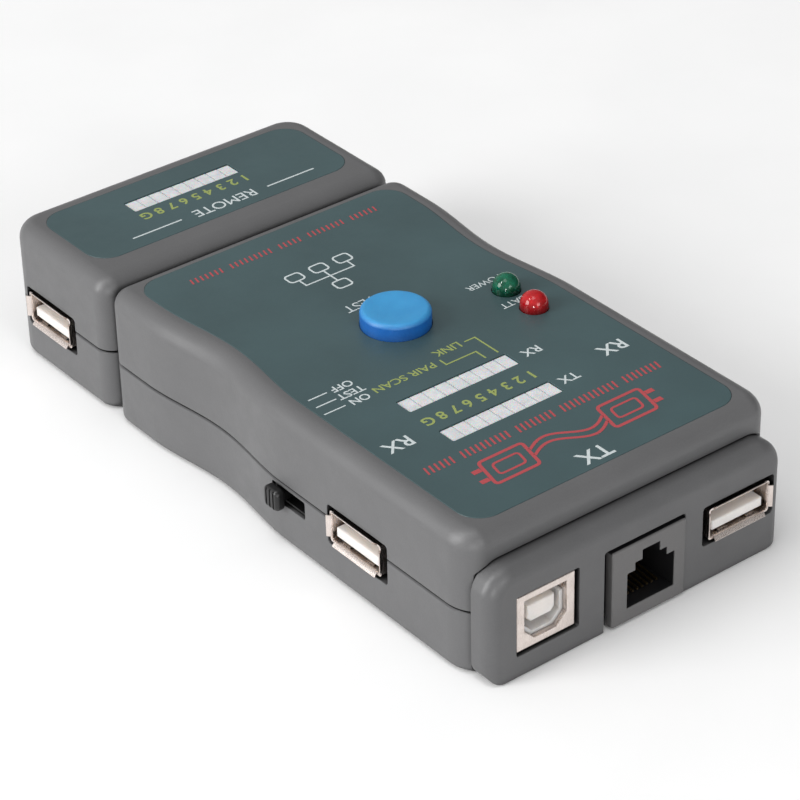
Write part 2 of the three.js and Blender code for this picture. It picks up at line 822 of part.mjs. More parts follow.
function makeMainBoard() {
  const right = BOARD_STEPS.map(([x, distance]) => new THREE.Vector2(x, alongY(distance)));
  const left = right.map((point) => new THREE.Vector2(-point.x, point.y)).reverse();
  const sheet = raised([...right, ...left], BOARD.bottom, BOARD.top);
  return without(sheet, ...MAIN_BOARD_SCREWS.map(boardHole));
}

const makeRemoteBoard = () =>
  without(
    block(
      -REMOTE_BOARD.halfWidth,
      REMOTE_BOARD.halfWidth,
      alongY(REMOTE_BOARD.far),
      alongY(REMOTE_BOARD.near),
      BOARD.bottom,
      BOARD.top,
    ),
    boardHole(REMOTE_BOARD_SCREW),
  );

const makeLightBar = (bar) =>
  block(
    bar.x - BAR.length / 2,
    bar.x + BAR.length / 2,
    alongY(bar.distance) - BAR.width / 2,
    alongY(bar.distance) + BAR.width / 2,
    PART_ON_BOARD,
    BAR.top,
  );

function makeLamp(lamp) {
  const profile = [
    [0, PART_ON_BOARD],
    [LED.flange, PART_ON_BOARD],
    [LED.flange, PART_ON_BOARD + LED.flangeHeight],
    [LED.radius, PART_ON_BOARD + LED.flangeHeight],
  ];
  for (let step = 0; step < ROUND_STEPS; step += 1) {
    const angle = (step * Math.PI) / (2 * ROUND_STEPS);
    profile.push([LED.radius * Math.cos(angle), LED.shoulder + LED.radius * Math.sin(angle)]);
  }
  profile.push([0, LED.shoulder + LED.radius]);
  return turned(profile, lamp.x, alongY(lamp.distance), 16);
}

function makeButtonCap() {
  const profile = [
    [0, BUTTON.bottom],
    [BUTTON_FLANGE.radius, BUTTON.bottom],
    [BUTTON_FLANGE.radius, BUTTON_FLANGE.top],
    [BUTTON.radius, BUTTON_FLANGE.top],
  ];
  for (let step = 0; step <= ROUND_STEPS; step += 1) {
    const angle = (step * Math.PI) / (2 * ROUND_STEPS);
    const radius = BUTTON.radius - BUTTON_EDGE * (1 - Math.cos(angle));
    profile.push([radius, BUTTON.top - BUTTON_EDGE * (1 - Math.sin(angle))]);
  }
  profile.push([0, BUTTON.top]);
  return turned(profile, BUTTON.x, alongY(BUTTON.distance));
}

function makeTactBody() {
  const y = alongY(BUTTON.distance);
  const half = TACT.side / 2;
  return without(
    block(BUTTON.x - half, BUTTON.x + half, y - half, y + half, PART_ON_BOARD, TACT.top),
    upright(BUTTON.x, y, TACT.wellRadius, TACT.wellFloor, ABOVE),
  );
}

const makePlunger = () =>
  upright(BUTTON.x, alongY(BUTTON.distance), PLUNGER.radius, PLUNGER.bottom, PLUNGER.top);

const makeController = () =>
  block(
    CHIP.xLow,
    CHIP.xHigh,
    alongY(CHIP.far),
    alongY(CHIP.near),
    PART_ON_BOARD,
    PART_ON_BOARD + CHIP.height,
  );

addPart('main_board', makeMainBoard(), FINISH.board);
addPart('remote_board', makeRemoteBoard(), FINISH.board);
addPart('tx_light_bar', makeLightBar(TX_BAR), FINISH.diffuser);
addPart('rx_light_bar', makeLightBar(RX_BAR), FINISH.diffuser);
addPart('remote_light_bar', makeLightBar(REMOTE_BAR), FINISH.diffuser);
addPart('low_battery_lamp', makeLamp(RED_LED), FINISH.redLens);
addPart('power_lamp', makeLamp(GREEN_LED), FINISH.greenLens);
addPart('test_button_cap', makeButtonCap(), FINISH.button);
addPart('test_button_plunger', makePlunger(), FINISH.blackPlastic);
addPart('test_switch_body', makeTactBody(), FINISH.blackPlastic);
addPart('controller_chip', makeController(), FINISH.blackPlastic);

// ---- Mode switch --------------------------------------------------------------------------

// At rest the knob is at the end of its slot that is nearer the remote unit.
const modeMiddle = { y: alongY(MODE_SLOT.distance), z: (MODE_SLOT.bottom + MODE_SLOT.top) / 2 };
const headLow = modeMiddle.y - MODE_SLOT.length / 2 + MODE_HEAD.restFromEnd;

// A block along the mode switch's slot, length long about y and height high.
const alongSlot = (xLow, xHigh, y, length, height) =>
  block(
    xLow,
    xHigh,
    y - length / 2,
    y + length / 2,
    modeMiddle.z - height / 2,
    modeMiddle.z + height / 2,
  );

// The head stands clear of the case and is wider than its slot; a neck joins it to the slider.
function makeModeKnob() {
  const y = headLow + MODE_HEAD.length / 2;
  const headInner = HALF_WIDTH + GAP;
  const headPlan = roundedRectangle(
    headInner,
    HALF_WIDTH + MODE_HEAD.reach,
    headLow,
    headLow + MODE_HEAD.length,
    MODE_HEAD.corner,
  );
  const neckInner = MODE_SLIDER.outer - ROOTED;
  return joined(
    raised(headPlan, MODE_HEAD.bottom, MODE_HEAD.top, MODE_HEAD.fillet),
    alongSlot(neckInner, headInner + ROOTED, y, MODE_NECK.length, MODE_NECK.height),
    alongSlot(MODE_SLIDER.inner, MODE_SLIDER.outer, y, MODE_SLIDER.length, MODE_SLIDER.height),
  );
}

// The body's collar fills the slot, so that only the neck's channel is open.
function makeModeBody() {
  const { y } = modeMiddle;
  const half = MODE_BODY.length / 2;
  const collarLength = MODE_SLOT.length - 2 * GAP;
  const collarHeight = MODE_SLOT.top - MODE_SLOT.bottom - 2 * GAP;
  const collarOuter = HALF_WIDTH - MODE_COLLAR.sunk;
  const channelLength = collarLength - 2 * MODE_COLLAR.wall;
  const channelHeight = collarHeight - 2 * MODE_COLLAR.wall;
  const spaceLength = MODE_BODY.length - 2 * MODE_BODY.endWall;
  const spaceHeight = MODE_SLIDER.height + 2 * GAP;
  return without(
    joined(
      block(MODE_BODY.inner, MODE_BODY.outer, y - half, y + half, MODE_BODY.bottom, MODE_BODY.top),
      alongSlot(MODE_BODY.outer - GAP, collarOuter, y, collarLength, collarHeight),
    ),
    alongSlot(MODE_SLIDER.inner - GAP, MODE_SLIDER.outer + GAP, y, spaceLength, spaceHeight),
    alongSlot(MODE_SLIDER.outer, HALF_WIDTH + PAST, y, channelLength, channelHeight),
  );
}

addPart('mode_switch_body', makeModeBody(), FINISH.blackPlastic);
addPart('mode_switch_knob', makeModeKnob(), FINISH.blackPlastic);

// ---- Sockets, each made with its mouth facing +Y at y = 0 ----------------------------------

const centred = (width, height, yLow, yHigh) =>
  block(-width / 2, width / 2, yLow, yHigh, -height / 2, height / 2);

function makeUsbAShell() {
  const tube = USB_A_TUBE;
  const mouthWidth = tube.width - 2 * tube.wall;
  const mouthHeight = tube.height - 2 * tube.wall;
  const lip = USB_A_LIP;
  return without(
    joined(
      centred(tube.width, tube.height, -tube.depth, 0),
      centred(lip.width, lip.height - 2 * lip.notchUp, -lip.thickness, 0),
      centred(lip.width - 2 * lip.notchAcross, lip.height, -lip.thickness, 0),
    ),
    centred(mouthWidth, mouthHeight, -tube.depth + tube.back, PAST),
  );
}

// The tongue lies in the lower half of the mouth, because these sockets hang under the board.
function makeUsbATongue() {
  const mouthFloor = -USB_A_TUBE.height / 2 + USB_A_TUBE.wall;
  const back = -USB_A_TUBE.depth + USB_A_TUBE.back + GAP;
  const low = mouthFloor + USB_A_TONGUE.aboveFloor;
  const half = USB_A_TONGUE.width / 2;
  return joined(
    block(-half, half, back, -USB_A_TONGUE.setBack, low, low + USB_A_TONGUE.thickness),
    block(-half, half, back, back + USB_A_TONGUE.root, mouthFloor + GAP, -mouthFloor - GAP),
  );
}

function makeUsbBShell() {
  const mouth = USB_B_MOUTH;
  const halfWidth = mouth.width / 2;
  const halfHeight = mouth.height / 2;
  const outline = [
    new THREE.Vector2(-halfWidth, halfHeight),
    new THREE.Vector2(-halfWidth, -halfHeight + mouth.chamfer),
    new THREE.Vector2(-halfWidth + mouth.chamfer, -halfHeight),
    new THREE.Vector2(halfWidth - mouth.chamfer, -halfHeight),
    new THREE.Vector2(halfWidth, -halfHeight + mouth.chamfer),
    new THREE.Vector2(halfWidth, halfHeight),
  ];
  return without(
    block(
      -USB_B.width / 2,
      USB_B.width / 2,
      -USB_B.depth,
      0,
      -USB_B.height / 2,
      USB_B.height / 2,
    ),
    pushedBack(outline, PAST, USB_B.depth - USB_B.wall + PAST),
  );
}

function makeUsbBTongue() {
  const tongue = USB_B_TONGUE;
  const back = -USB_B.depth + USB_B.wall + GAP;
  return joined(
    centred(tongue.width, tongue.height, back, -tongue.setBack),
    centred(tongue.width, tongue.rootHeight, back, back + tongue.root),
  );
}

function makeJack(plated) {
  const half = JACK.width / 2;
  let body = block(-half, half, -JACK.depth, 0, JACK.bottom, JACK.top);
  if (plated) {
    const plate = block(-half, half, -JACK_PLATE.thickness, 0, JACK_PLATE.bottom, JACK.top);
    body = joined(body, plate);
  }
  let floor = JACK_MOUTH_BOTTOM;
  const mouths = JACK_MOUTH.map((step) => {
    const low = JACK_MOUTH_OFFSET - step.width / 2;
    const cut = block(low, low + step.width, -JACK_MOUTH_DEPTH, PAST, floor, step.top);
    floor = step.top - JACK_STEP_OVERLAP;
    return cut;
  });
  return without(body, ...mouths);
}

// Eight sprung wires that rise from the mouth's floor, joined by a bar at the back.
function makeJackContacts() {
  const spring = JACK_CONTACTS;
  const back = -JACK_MOUTH_DEPTH + GAP;
  const reach = ((spring.count - 1) * spring.pitch + spring.width) / 2;
  const bar = [JACK_MOUTH_OFFSET - reach, JACK_MOUTH_OFFSET + reach];
  let comb = block(...bar, back, back + spring.barDepth, spring.low, spring.high);
  for (let index = 0; index < spring.count; index += 1) {
    const x = JACK_MOUTH_OFFSET + (index - (spring.count - 1) / 2) * spring.pitch;
    const outline = [
      new THREE.Vector2(back + ROOTED, spring.high),
      new THREE.Vector2(back + ROOTED, spring.high - spring.thickness),
      new THREE.Vector2(spring.front, spring.low),
      new THREE.Vector2(spring.front, spring.low + spring.thickness),
    ];
    const wire = new THREE.ExtrudeGeometry(new THREE.Shape(outline), {
      depth: spring.width,
      bevelEnabled: false,
    });
    wire.translate(0, 0, -spring.width / 2);
    wire.rotateX(Math.PI / 2);
    wire.rotateZ(Math.PI / 2);
    wire.translate(x, 0, 0);
    comb = joined(comb, solid(wire));
  }
  return comb;
}

// A socket is turned about Z so that its mouth faces out of the side it is on.
const FACING = { portEnd: 0, plusX: -Math.PI / 2, minusX: Math.PI / 2 };

function socketPlace(x, y, z, turn) {
  const place = new THREE.Group();
  place.position.set(x, y, z);
  place.rotation.z = turn;
  tester.add(place);
  return place;
}

function addUsbA(name, place) {
  addPart(`${name}_shell`, makeUsbAShell(), FINISH.nickel, place);
  addPart(`${name}_tongue`, makeUsbATongue(), FINISH.whitePlastic, place);
}

function addJack(name, place, plated) {
  addPart(`${name}_jack`, makeJack(plated), FINISH.jackPlastic, place);
  addPart(`${name}_contacts`, makeJackContacts(), FINISH.gold, place);
}

const sideX = HALF_WIDTH + USB_A_PROUD;
const jackX = -HALF_WIDTH - JACK.proud;

addUsbA('usb_a_end', socketPlace(USB_END.x, alongY(-USB_A_PROUD), USB_END.z, FACING.portEnd));
addUsbA(
  'usb_a_side',
  socketPlace(sideX, alongY(USB_SIDE.distance), USB_SIDE.z, FACING.plusX),
);
addUsbA(
  'remote_usb_a',
  socketPlace(sideX, alongY(USB_REMOTE.distance), USB_REMOTE.z, FACING.plusX),
);

const usbBPlace = socketPlace(USB_B.x, alongY(USB_B.sunk), USB_B.z, FACING.portEnd);
addPart('usb_b_shell', makeUsbBShell(), FINISH.nickel, usbBPlace);
addPart('usb_b_tongue', makeUsbBTongue(), FINISH.whitePlastic, usbBPlace);

addJack('rj45_tx', socketPlace(TX_JACK.x, alongY(-JACK.proud), 0, FACING.portEnd), true);
addJack('rj45_rx', socketPlace(jackX, alongY(RX_JACK.distance), 0, FACING.minusX), false);
addJack('remote_rj45', socketPlace(jackX, alongY(REMOTE_JACK.distance), 0, FACING.minusX), false);

// ---- Screws -------------------------------------------------------------------------------

function makeScrew(screw) {
  const profile = [
    [0, SCREW.headBottom],
    [SCREW.headRadius - SCREW.headEdge, SCREW.headBottom],
    [SCREW.headRadius, SCREW.headBottom + SCREW.headEdge],
    [SCREW.headRadius, SCREW.headTop],
    [SCREW.radius, SCREW.headTop],
    [SCREW.radius, SCREW.tip - SCREW.pointLength],
    [0, SCREW.tip],
  ];
  return turned(profile, screw.x, alongY(screw.distance), SMALL_SIDES);
}

// The small screws that hold a circuit board up against its posts.
function makeBoardScrew(screw) {
  const headTop = BOARD.bottom - GAP;
  const profile = [
    [0, headTop - BOARD_SCREW.headHeight],
    [BOARD_SCREW.headRadius, headTop - BOARD_SCREW.headHeight],
    [BOARD_SCREW.headRadius, headTop],
    [BOARD_SCREW.radius, headTop],
    [BOARD_SCREW.radius, BOARD_SCREW.tip],
    [0, BOARD_SCREW.tip],
  ];
  return turned(profile, screw.x, alongY(screw.distance), SMALL_SIDES);
}

MAIN_SCREWS.forEach((screw, index) => {
  addPart(`case_screw_${index + 1}`, makeScrew(screw), FINISH.steel);
});
REMOTE_SCREWS.forEach((screw, index) => {
  addPart(`remote_screw_${index + 1}`, makeScrew(screw), FINISH.steel);
});
MAIN_BOARD_SCREWS.forEach((screw, index) => {
  addPart(`board_screw_${index + 1}`, makeBoardScrew(screw), FINISH.steel);
});
addPart('remote_board_screw', makeBoardScrew(REMOTE_BOARD_SCREW), FINISH.steel);

export default tester;
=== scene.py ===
"""Looks of a handheld network cable tester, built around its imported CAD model.

Shapes are worked out in millimetres and written to Blender in metres. +X is the side with the
mode switch, +Y the end with the transmit ports and +Z points out of the face.
"""

import math

import bmesh
import bpy
from mathutils import Matrix, Vector


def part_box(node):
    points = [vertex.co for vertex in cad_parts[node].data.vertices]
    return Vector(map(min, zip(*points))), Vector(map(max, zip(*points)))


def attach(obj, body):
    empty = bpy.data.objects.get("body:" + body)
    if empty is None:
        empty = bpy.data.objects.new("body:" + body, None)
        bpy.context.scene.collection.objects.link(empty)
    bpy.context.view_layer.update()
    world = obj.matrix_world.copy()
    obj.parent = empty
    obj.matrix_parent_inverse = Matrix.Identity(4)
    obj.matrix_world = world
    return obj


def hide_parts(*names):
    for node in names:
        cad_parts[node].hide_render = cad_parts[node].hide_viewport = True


MM = 0.001
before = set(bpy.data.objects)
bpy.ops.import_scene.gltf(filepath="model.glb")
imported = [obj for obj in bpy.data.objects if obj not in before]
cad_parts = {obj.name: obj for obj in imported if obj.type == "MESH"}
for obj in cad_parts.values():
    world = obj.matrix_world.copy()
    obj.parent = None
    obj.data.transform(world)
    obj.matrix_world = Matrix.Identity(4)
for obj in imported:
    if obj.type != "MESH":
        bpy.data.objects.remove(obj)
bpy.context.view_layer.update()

# ---- Dimensions in millimetres, taken from the CAD model where it has them ----


def box(node):
    """The lowest and highest corner of a CAD node, in millimetres."""
    low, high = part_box(node)
    return low / MM, high / MM


def centre_of(node):
    low, high = box(node)
    return (low + high) / 2


def size_of(node):
    low, high = box(node)
    return high - low


top_low, top_high = box("main_top_shell")
bezel_low, bezel_high = box("port_bezel")
label_low, label_high = box("face_label")
remote_low, remote_high = box("remote_top_shell")

WALL = 2.0
GAP = 0.3
DOCK_GAP = 0.8
TOP_Z = top_high.z
PARTING_LOW = box("main_bottom_shell")[1].z
PARTING_HIGH = top_low.z
HALF_WIDTH = top_high.x
PORT_Y = bezel_high.y
DOCK_Y = remote_high.y + DOCK_GAP
TOP_FILLET = 3.2
BOTTOM_FILLET = 1.6
GROOVE_WIDTH = 0.18
GROOVE_DEPTH = 0.28
PORT_CORNER = (3.9, 5.4)
DOCK_CORNER = (3.6, 3.6)
REMOTE_END_CORNER = (5.5, 5.5)
BEZEL_CORNER = 5.0
BEZEL_FILLET = 2.6
BEZEL_HEEL = 3.2
BEZEL_FOOT_EDGE = 0.35
SEAM_EDGE = 0.3
SEAM_REACH = 9
PORT_BAY_DEPTH = 12
PORT_BAY_SIDE = 4
HOLLOW_EDGE = 0.6
LABEL_CORNER = (4.5, 4.5)
LABEL_FLOOR = label_low.z - 0.2
LABEL_GAP = 0.05
FILM_GAP = 0.09
WAIST_HALF = 20
WAIST_DEPTH = 1.8
ARC_STEPS = 14
RIM_STEPS = 8
WAIST_STEPS = 36
SMALLEST_CORNER = 0.04
FAR = 60
SHARP_ANGLE = math.radians(32)


def along_y(distance):
    """The Y of a place this far from the outer face of the port end."""
    return PORT_Y - distance


WAIST_Y = along_y(72)

# ---- Outlines: each is a function from a growth to a loop of points, counter-clockwise ----


def arc(centre, radii, start, steps=ARC_STEPS):
    """A quarter turn of an ellipse from a starting angle in degrees."""
    points = []
    for step in range(steps + 1):
        angle = math.radians(start + 90 * step / steps)
        x = centre[0] + radii[0] * math.cos(angle)
        y = centre[1] + radii[1] * math.sin(angle)
        points.append((x, y))
    return points


def waist_at(y):
    """How far each side of the main unit is drawn in."""
    phase = (y - WAIST_Y) / WAIST_HALF
    if abs(phase) >= 1:
        return 0.0
    return WAIST_DEPTH / 2 * (1 + math.cos(math.pi * phase))


def plan(far, near, half_width, far_corner, near_corner, waisted):
    """The plan of a casing or label, symmetric about X = 0, from its far end to its near end."""

    def outline(grow):
        half = half_width + grow
        far_radii = [radius + grow for radius in far_corner]
        near_radii = [radius + grow for radius in near_corner]
        side = arc((half - far_radii[0], far - grow + far_radii[1]), far_radii, -90)
        if waisted:
            for step in range(1, WAIST_STEPS):
                y = WAIST_Y + WAIST_HALF * (2 * step / WAIST_STEPS - 1)
                side.append((half - waist_at(y), y))
        side += arc((half - near_radii[0], near + grow - near_radii[1]), near_radii, 0)
        return side + [(-x, y) for x, y in reversed(side)]

    return outline


def rounded(width, height, radius, steps=6, centre=(0, 0)):
    """A rounded rectangle about a centre."""

    def outline(grow):
        corner = max(radius + grow, SMALLEST_CORNER)
        x, y = width / 2 + grow - corner, height / 2 + grow - corner
        points = []
        for sign_x, sign_y, start in ((1, -1, -90), (1, 1, 0), (-1, 1, 90), (-1, -1, 180)):
            middle = (centre[0] + sign_x * x, centre[1] + sign_y * y)
            points += arc(middle, (corner, corner), start, steps)
        return points

    return outline


def circle(radius, sides=64):
    """A circle about the origin."""

    def outline(grow):
        size = radius + grow
        angles = [side * 2 * math.pi / sides for side in range(sides)]
        return [(size * math.cos(angle), size * math.sin(angle)) for angle in angles]

    return outline


def polygon(corners):
    """A fixed convex polygon whose sides move out by the growth."""

    def outline(grow):
        points = []
        for index, corner in enumerate(corners):
            here = Vector(corner)
            back = (here - Vector(corners[index - 1])).normalized()
            ahead = (Vector(corners[(index + 1) % len(corners)]) - here).normalized()
            out_back = Vector((back.y, -back.x))
            out_ahead = Vector((ahead.y, -ahead.x))
            bisector = (out_back + out_ahead).normalized()
            moved = here + bisector * (grow / bisector.dot(out_ahead))
            points.append((moved.x, moved.y))
        return points

    return outline


# ---- Solids ----

UP = Matrix.Identity(4)


def facing(out, origin):
    """A place whose third axis points out of a surface, and whose second points up the object."""
    normal = Vector(out)
    up = Vector((0, 0, 1)) if abs(normal.z) < 0.5 else Vector((0, normal.z, 0))
    place = Matrix.Identity(4)
    for axis, direction in enumerate((up.cross(normal), up, normal)):
        for row in range(3):
            place[row][axis] = direction[row]
    return Matrix.Translation(Vector(origin)) @ place


def upright(node, z=0.0):
    """A place at a height on the upright axis of a node, looking up."""
    middle = centre_of(node)
    return Matrix.Translation(Vector((middle.x, middle.y, z)))


def underneath(node, z=0.0):
    """A place at a height on the upright axis of a node, looking down."""
    middle = centre_of(node)
    return facing((0, 0, -1), (middle.x, middle.y, z))


def facing_end(x, y, z):
    """A place at the port end whose outlines are drawn in X and Z, seen from outside."""
    return facing((0, 1, 0), (x, y, z))


def rim(edge, radius, steps=RIM_STEPS, leaving=True):
    """Levels that round the edge of a solid: leaving a top one, or arriving at a bottom one."""
    levels = []
    for step in range(steps + 1):
        angle = math.pi / 2 * step / steps
        drop = radius * (1 - math.sin(angle))
        inset = radius * (1 - math.cos(angle))
        levels.append((edge - drop if leaving else edge + drop, -inset))
    return levels if leaving else levels[::-1]


def add_mesh(name, vertices, faces):
    mesh = bpy.data.meshes.new(name)
    mesh.from_pydata([tuple(Vector(v) * MM) for v in vertices], [], faces)
    mesh.validate()
    thing = bpy.data.objects.new(name, mesh)
    bpy.context.scene.collection.objects.link(thing)
    return thing


def lofted(name, outline, levels, place=UP):
    """A closed solid whose section at each (height, growth) level is outline(growth)."""
    vertices = []
    faces = []
    count = len(outline(0))
    for height, grow in levels:
        vertices += [place @ Vector((x, y, height)) for x, y in outline(grow)]
    for start in range(0, (len(levels) - 1) * count, count):
        for index in range(count):
            here, after = start + index, start + (index + 1) % count
            faces.append((here, after, count + after, count + here))
    faces.append(tuple(reversed(range(count))))
    faces.append(tuple(range(len(vertices) - count, len(vertices))))
    return add_mesh(name, vertices, faces)


def slab(name, low, high, edge=0.0):
    """A block between two corners, whose edges are broken where an edge is given."""
    centre = ((high[0] + low[0]) / 2, (high[1] + low[1]) / 2)
    outline = rounded(high[0] - low[0], high[1] - low[1], edge, 2 if edge else 1, centre)
    levels = [(low[2], 0), (high[2], 0)]
    if edge:
        levels = rim(low[2], edge, 2, leaving=False) + rim(high[2], edge, 2)
    return lofted(name, outline, levels)


def turned(name, profile, place=UP, sides=64):
    """A solid of revolution from (radius, height) pairs; the first and last are on the axis."""
    vertices = [place @ Vector((0, 0, profile[0][1]))]
    for radius, height in profile[1:-1]:
        for index in range(sides):
            angle = 2 * math.pi * index / sides
            spot = Vector((radius * math.cos(angle), radius * math.sin(angle), height))
            vertices.append(place @ spot)
    vertices.append(place @ Vector((0, 0, profile[-1][1])))
    last = len(vertices) - 1
    faces = []
    rings = len(profile) - 2
    top = 1 + (rings - 1) * sides
    for index in range(sides):
        after = (index + 1) % sides
        faces.append((0, 1 + after, 1 + index))
        for here in range(1, top, sides):
            above = here + sides
            faces.append((here + index, here + after, above + after, above + index))
        faces.append((top + index, top + after, last))
    return add_mesh(name, vertices, faces)


def bake(thing):
    """Applies an object's modifiers to its mesh."""
    graph = bpy.context.evaluated_depsgraph_get()
    mesh = bpy.data.meshes.new_from_object(thing.evaluated_get(graph))
    thing.modifiers.clear()
    thing.data = mesh


def combine(thing, others, operation="DIFFERENCE"):
    """Cuts the others out of a solid, or joins them to it."""
    for other in others:
        modifier = thing.modifiers.new("combine", "BOOLEAN")
        modifier.operation = operation
        modifier.solver = "EXACT"
        modifier.object = other
    bake(thing)
    for other in others:
        bpy.data.objects.remove(other)
    return thing


def merged(name, things):
    """Several separate solids as one object."""
    first = things[0]
    builder = bmesh.new()
    for thing in things:
        builder.from_mesh(thing.data)
    builder.to_mesh(first.data)
    builder.free()
    first.name = name
    for thing in things[1:]:
        bpy.data.objects.remove(thing)
    return first


def hole(outline, place, depth, flare=0.0):
    """A cutter for a hole with that outline, whose edge at the surface is broken by the flare."""
    levels = [(-depth, 0.0), (FAR, 0.0)]
    if flare:
        levels[1:] = [(-flare, 0.0), (-flare * 0.3, flare * 0.3), (0.0, flare), (FAR, flare)]
    return lofted("hole", outline, levels, place)


def band(points, width, low, high, place=UP, closed=False):
    """A strip of constant width along a line of points, from one height to another."""
    count = len(points)
    vertices = []
    for index, point in enumerate(points):
        here = Vector(point)
        before = Vector(points[index - 1]) if closed or index > 0 else None
        after = Vector(points[(index + 1) % count]) if closed or index < count - 1 else None
        ahead = (after - here).normalized() if after else (here - before).normalized()
        behind = (here - before).normalized() if before else ahead
        along = (ahead + behind).normalized()
        left = Vector((-along.y, along.x))
        reach = width / 2 / max(left.dot(Vector((-ahead.y, ahead.x))), 0.3)
        for height in (low, high):
            for side in (left * reach, -left * reach):
                vertices.append(place @ Vector((here.x + side.x, here.y + side.y, height)))
    faces = []
    for index in range(count if closed else count - 1):
        a, b = 4 * index, 4 * ((index + 1) % count)
        faces += [(a + 3, b + 3, b + 2, a + 2), (a, b, b + 1, a + 1)]
        faces += [(b, a, a + 2, b + 2), (a + 1, b + 1, b + 3, a + 3)]
    if not closed:
        end = 4 * (count - 1)
        faces += [(0, 1, 3, 2), (end + 1, end, end + 2, end + 3)]
    return add_mesh("band", vertices, faces)


# ---- Materials: a colour is six hexadecimal digits, sizes and depths are in millimetres ----


def srgb(code):
    """A colour written as six hexadecimal digits, as Blender's linear values."""
    linear = []
    for start in (0, 2, 4):
        value = int(code[start : start + 2], 16) / 255
        linear.append(value / 12.92 if value <= 0.04045 else ((value + 0.055) / 1.055) ** 2.4)
    return (*linear, 1.0)


def scaled(code, factor):
    """A colour made darker or lighter, but no lighter than white."""
    return (*[min(1.0, part * factor) for part in srgb(code)[:3]], 1.0)


class Finish:
    """A material under construction. Any value may be a node's socket, and a colour its code."""

    def __init__(self, name):
        self.material = bpy.data.materials.new(name)
        self.material.use_nodes = True
        self.tree = self.material.node_tree
        self.shader = self.tree.nodes["Principled BSDF"]
        self.place = self.node("ShaderNodeTexCoord").outputs["Object"]

    def put(self, socket, value):
        if isinstance(value, bpy.types.NodeSocket):
            self.tree.links.new(value, socket)
        else:
            socket.default_value = srgb(value) if isinstance(value, str) else value

    def node(self, kind, values=None, **settings):
        made = self.tree.nodes.new(kind)
        for key, value in settings.items():
            setattr(made, key, value)
        for key, value in (values or {}).items():
            self.put(made.inputs[key], value)
        return made

    def set(self, **values):
        for key, value in values.items():
            self.put(self.shader.inputs[key.replace("_", " ")], value)

    def noise(self, size, detail, roughness=0.55, stretch=None):
        """Noise whose blobs are about that size across."""
        place = self.place
        if stretch:
            place = self.node("ShaderNodeMapping", {"Vector": place, "Scale": stretch}).outputs[0]
        values = {"Vector": place, "Scale": 1 / (size * MM), "Detail": detail, "Roughness": roughness}
        return self.node("ShaderNodeTexNoise", values).outputs["Fac"]

    def cells(self, size):
        """How far each place is from the middle of its cell, with cells of about that size."""
        values = {"Vector": self.place, "Scale": 1 / (size * MM)}
        return self.node("ShaderNodeTexVoronoi", values).outputs["Distance"]

    def part(self, vector, axis):
        """One component of a vector."""
        return self.node("ShaderNodeSeparateXYZ", {"Vector": vector}).outputs[axis]

    def ramp(self, value, start, end, low=0.0, high=1.0):
        """Low up to the start, high from the end, and in between in proportion."""
        values = {"Value": value, "From Min": start, "From Max": end, "To Min": low, "To Max": high}
        return self.node("ShaderNodeMapRange", values).outputs["Result"]

    def spread(self, noise, low, high):
        """Noise brought to the range low to high, which it then fills."""
        return self.ramp(noise, 0.3, 0.7, low, high)

    def mix(self, share, first, second):
        """The colour between two others at a share."""
        values = {0: share, 6: first, 7: second}
        return self.node("ShaderNodeMix", values, data_type="RGBA").outputs[2]

    def blotches(self, size, detail, first, second, most=1.0):
        """A colour that drifts from one towards another in blobs of about that size."""
        return self.mix(self.spread(self.noise(size, detail), 0, most), first, second)

    def open_share(self, reach, samples):
        """How open a surface is within a reach: 1 in the open, 0 where it is shut in."""
        values = {"Distance": reach * MM}
        return self.node("ShaderNodeAmbientOcclusion", values, samples=samples).outputs["AO"]

    def crevice_shade(self, colour, shade, reach):
        """Painted shade: a colour that goes towards a darker shade where two surfaces meet closely.
        """
        return self.mix(self.open_share(reach, 6), shade, colour)

    def bump(self, height, depth, strength, below=None):
        values = {"Height": height, "Distance": depth * MM, "Strength": strength}
        if below is not None:
            values["Normal"] = below
        return self.node("ShaderNodeBump", values).outputs["Normal"]

    def surface(self, colour, roughness, bump, **others):
        """Sets colour, bump and roughness, which is noise: its size, detail, lowest and highest."""
        size, detail, low, high = roughness
        rough = self.spread(self.noise(size, detail), low, high)
        self.set(Base_Color=colour, Roughness=rough, Normal=bump, **others)
        return self


GAP_SHADOW_REACH = 3.0
GAP_SHADOW_RANGE = (0.3, 0.62)


def moulded(name, code, roughness, grain=0.35, depth=0.012, drift=0.06, dust_and_shade=0.45, gap_shade=None):
    """Injection-moulded plastic: fine spark-eroded grain, slow drift of tone, dust and painted shade
    in corners.

    With a gap shade, painted shade turns it dark where it is almost shut in, as the walls of a gap
    are.
    """
    finish = Finish(name)
    colour = finish.blotches(14, 4, scaled(code, 1 - drift), scaled(code, 1 + drift))
    colour = finish.blotches(grain * 0.8, 2, colour, scaled(code, 0.6), 0.16)
    # Dust and painted shade: the colour darkens where surfaces meet closely.
    colour = finish.crevice_shade(colour, scaled(code, 1 - dust_and_shade), 1.2)
    # Painted shade: near-black where the surface is almost shut in.
    if gap_shade:
        openness = finish.ramp(finish.open_share(GAP_SHADOW_REACH, 8), *GAP_SHADOW_RANGE)
        colour = finish.mix(openness, gap_shade, colour)
    coarse = finish.bump(finish.noise(grain * 3, 2), depth * 1.5, 0.5)
    fine = finish.bump(finish.cells(grain), depth, 0.7, coarse)
    return finish.surface(colour, (4, 3, roughness - 0.05, roughness + 0.07), fine, IOR=1.5)


def metal(name, code, roughness):
    """Plated sheet metal, with faint drawing marks, a patchy film on it, and painted shade in its
    hollows.
    """
    finish = Finish(name)
    # Painted shade: dark brown in hollows, standing in for the dark reflections there.
    colour = finish.crevice_shade(finish.blotches(2.5, 4, code, "a5968a", 0.3), "3a2a20", 1.6)
    marks = finish.noise(0.12, 2, 0.6, (1.0, 1.0, 0.06))
    rough = finish.spread(marks, roughness - 0.07, roughness + 0.1)
    finish.set(Base_Color=colour, Metallic=1.0, Roughness=rough)
    finish.set(Normal=finish.bump(marks, 0.004, 0.5))
    return finish


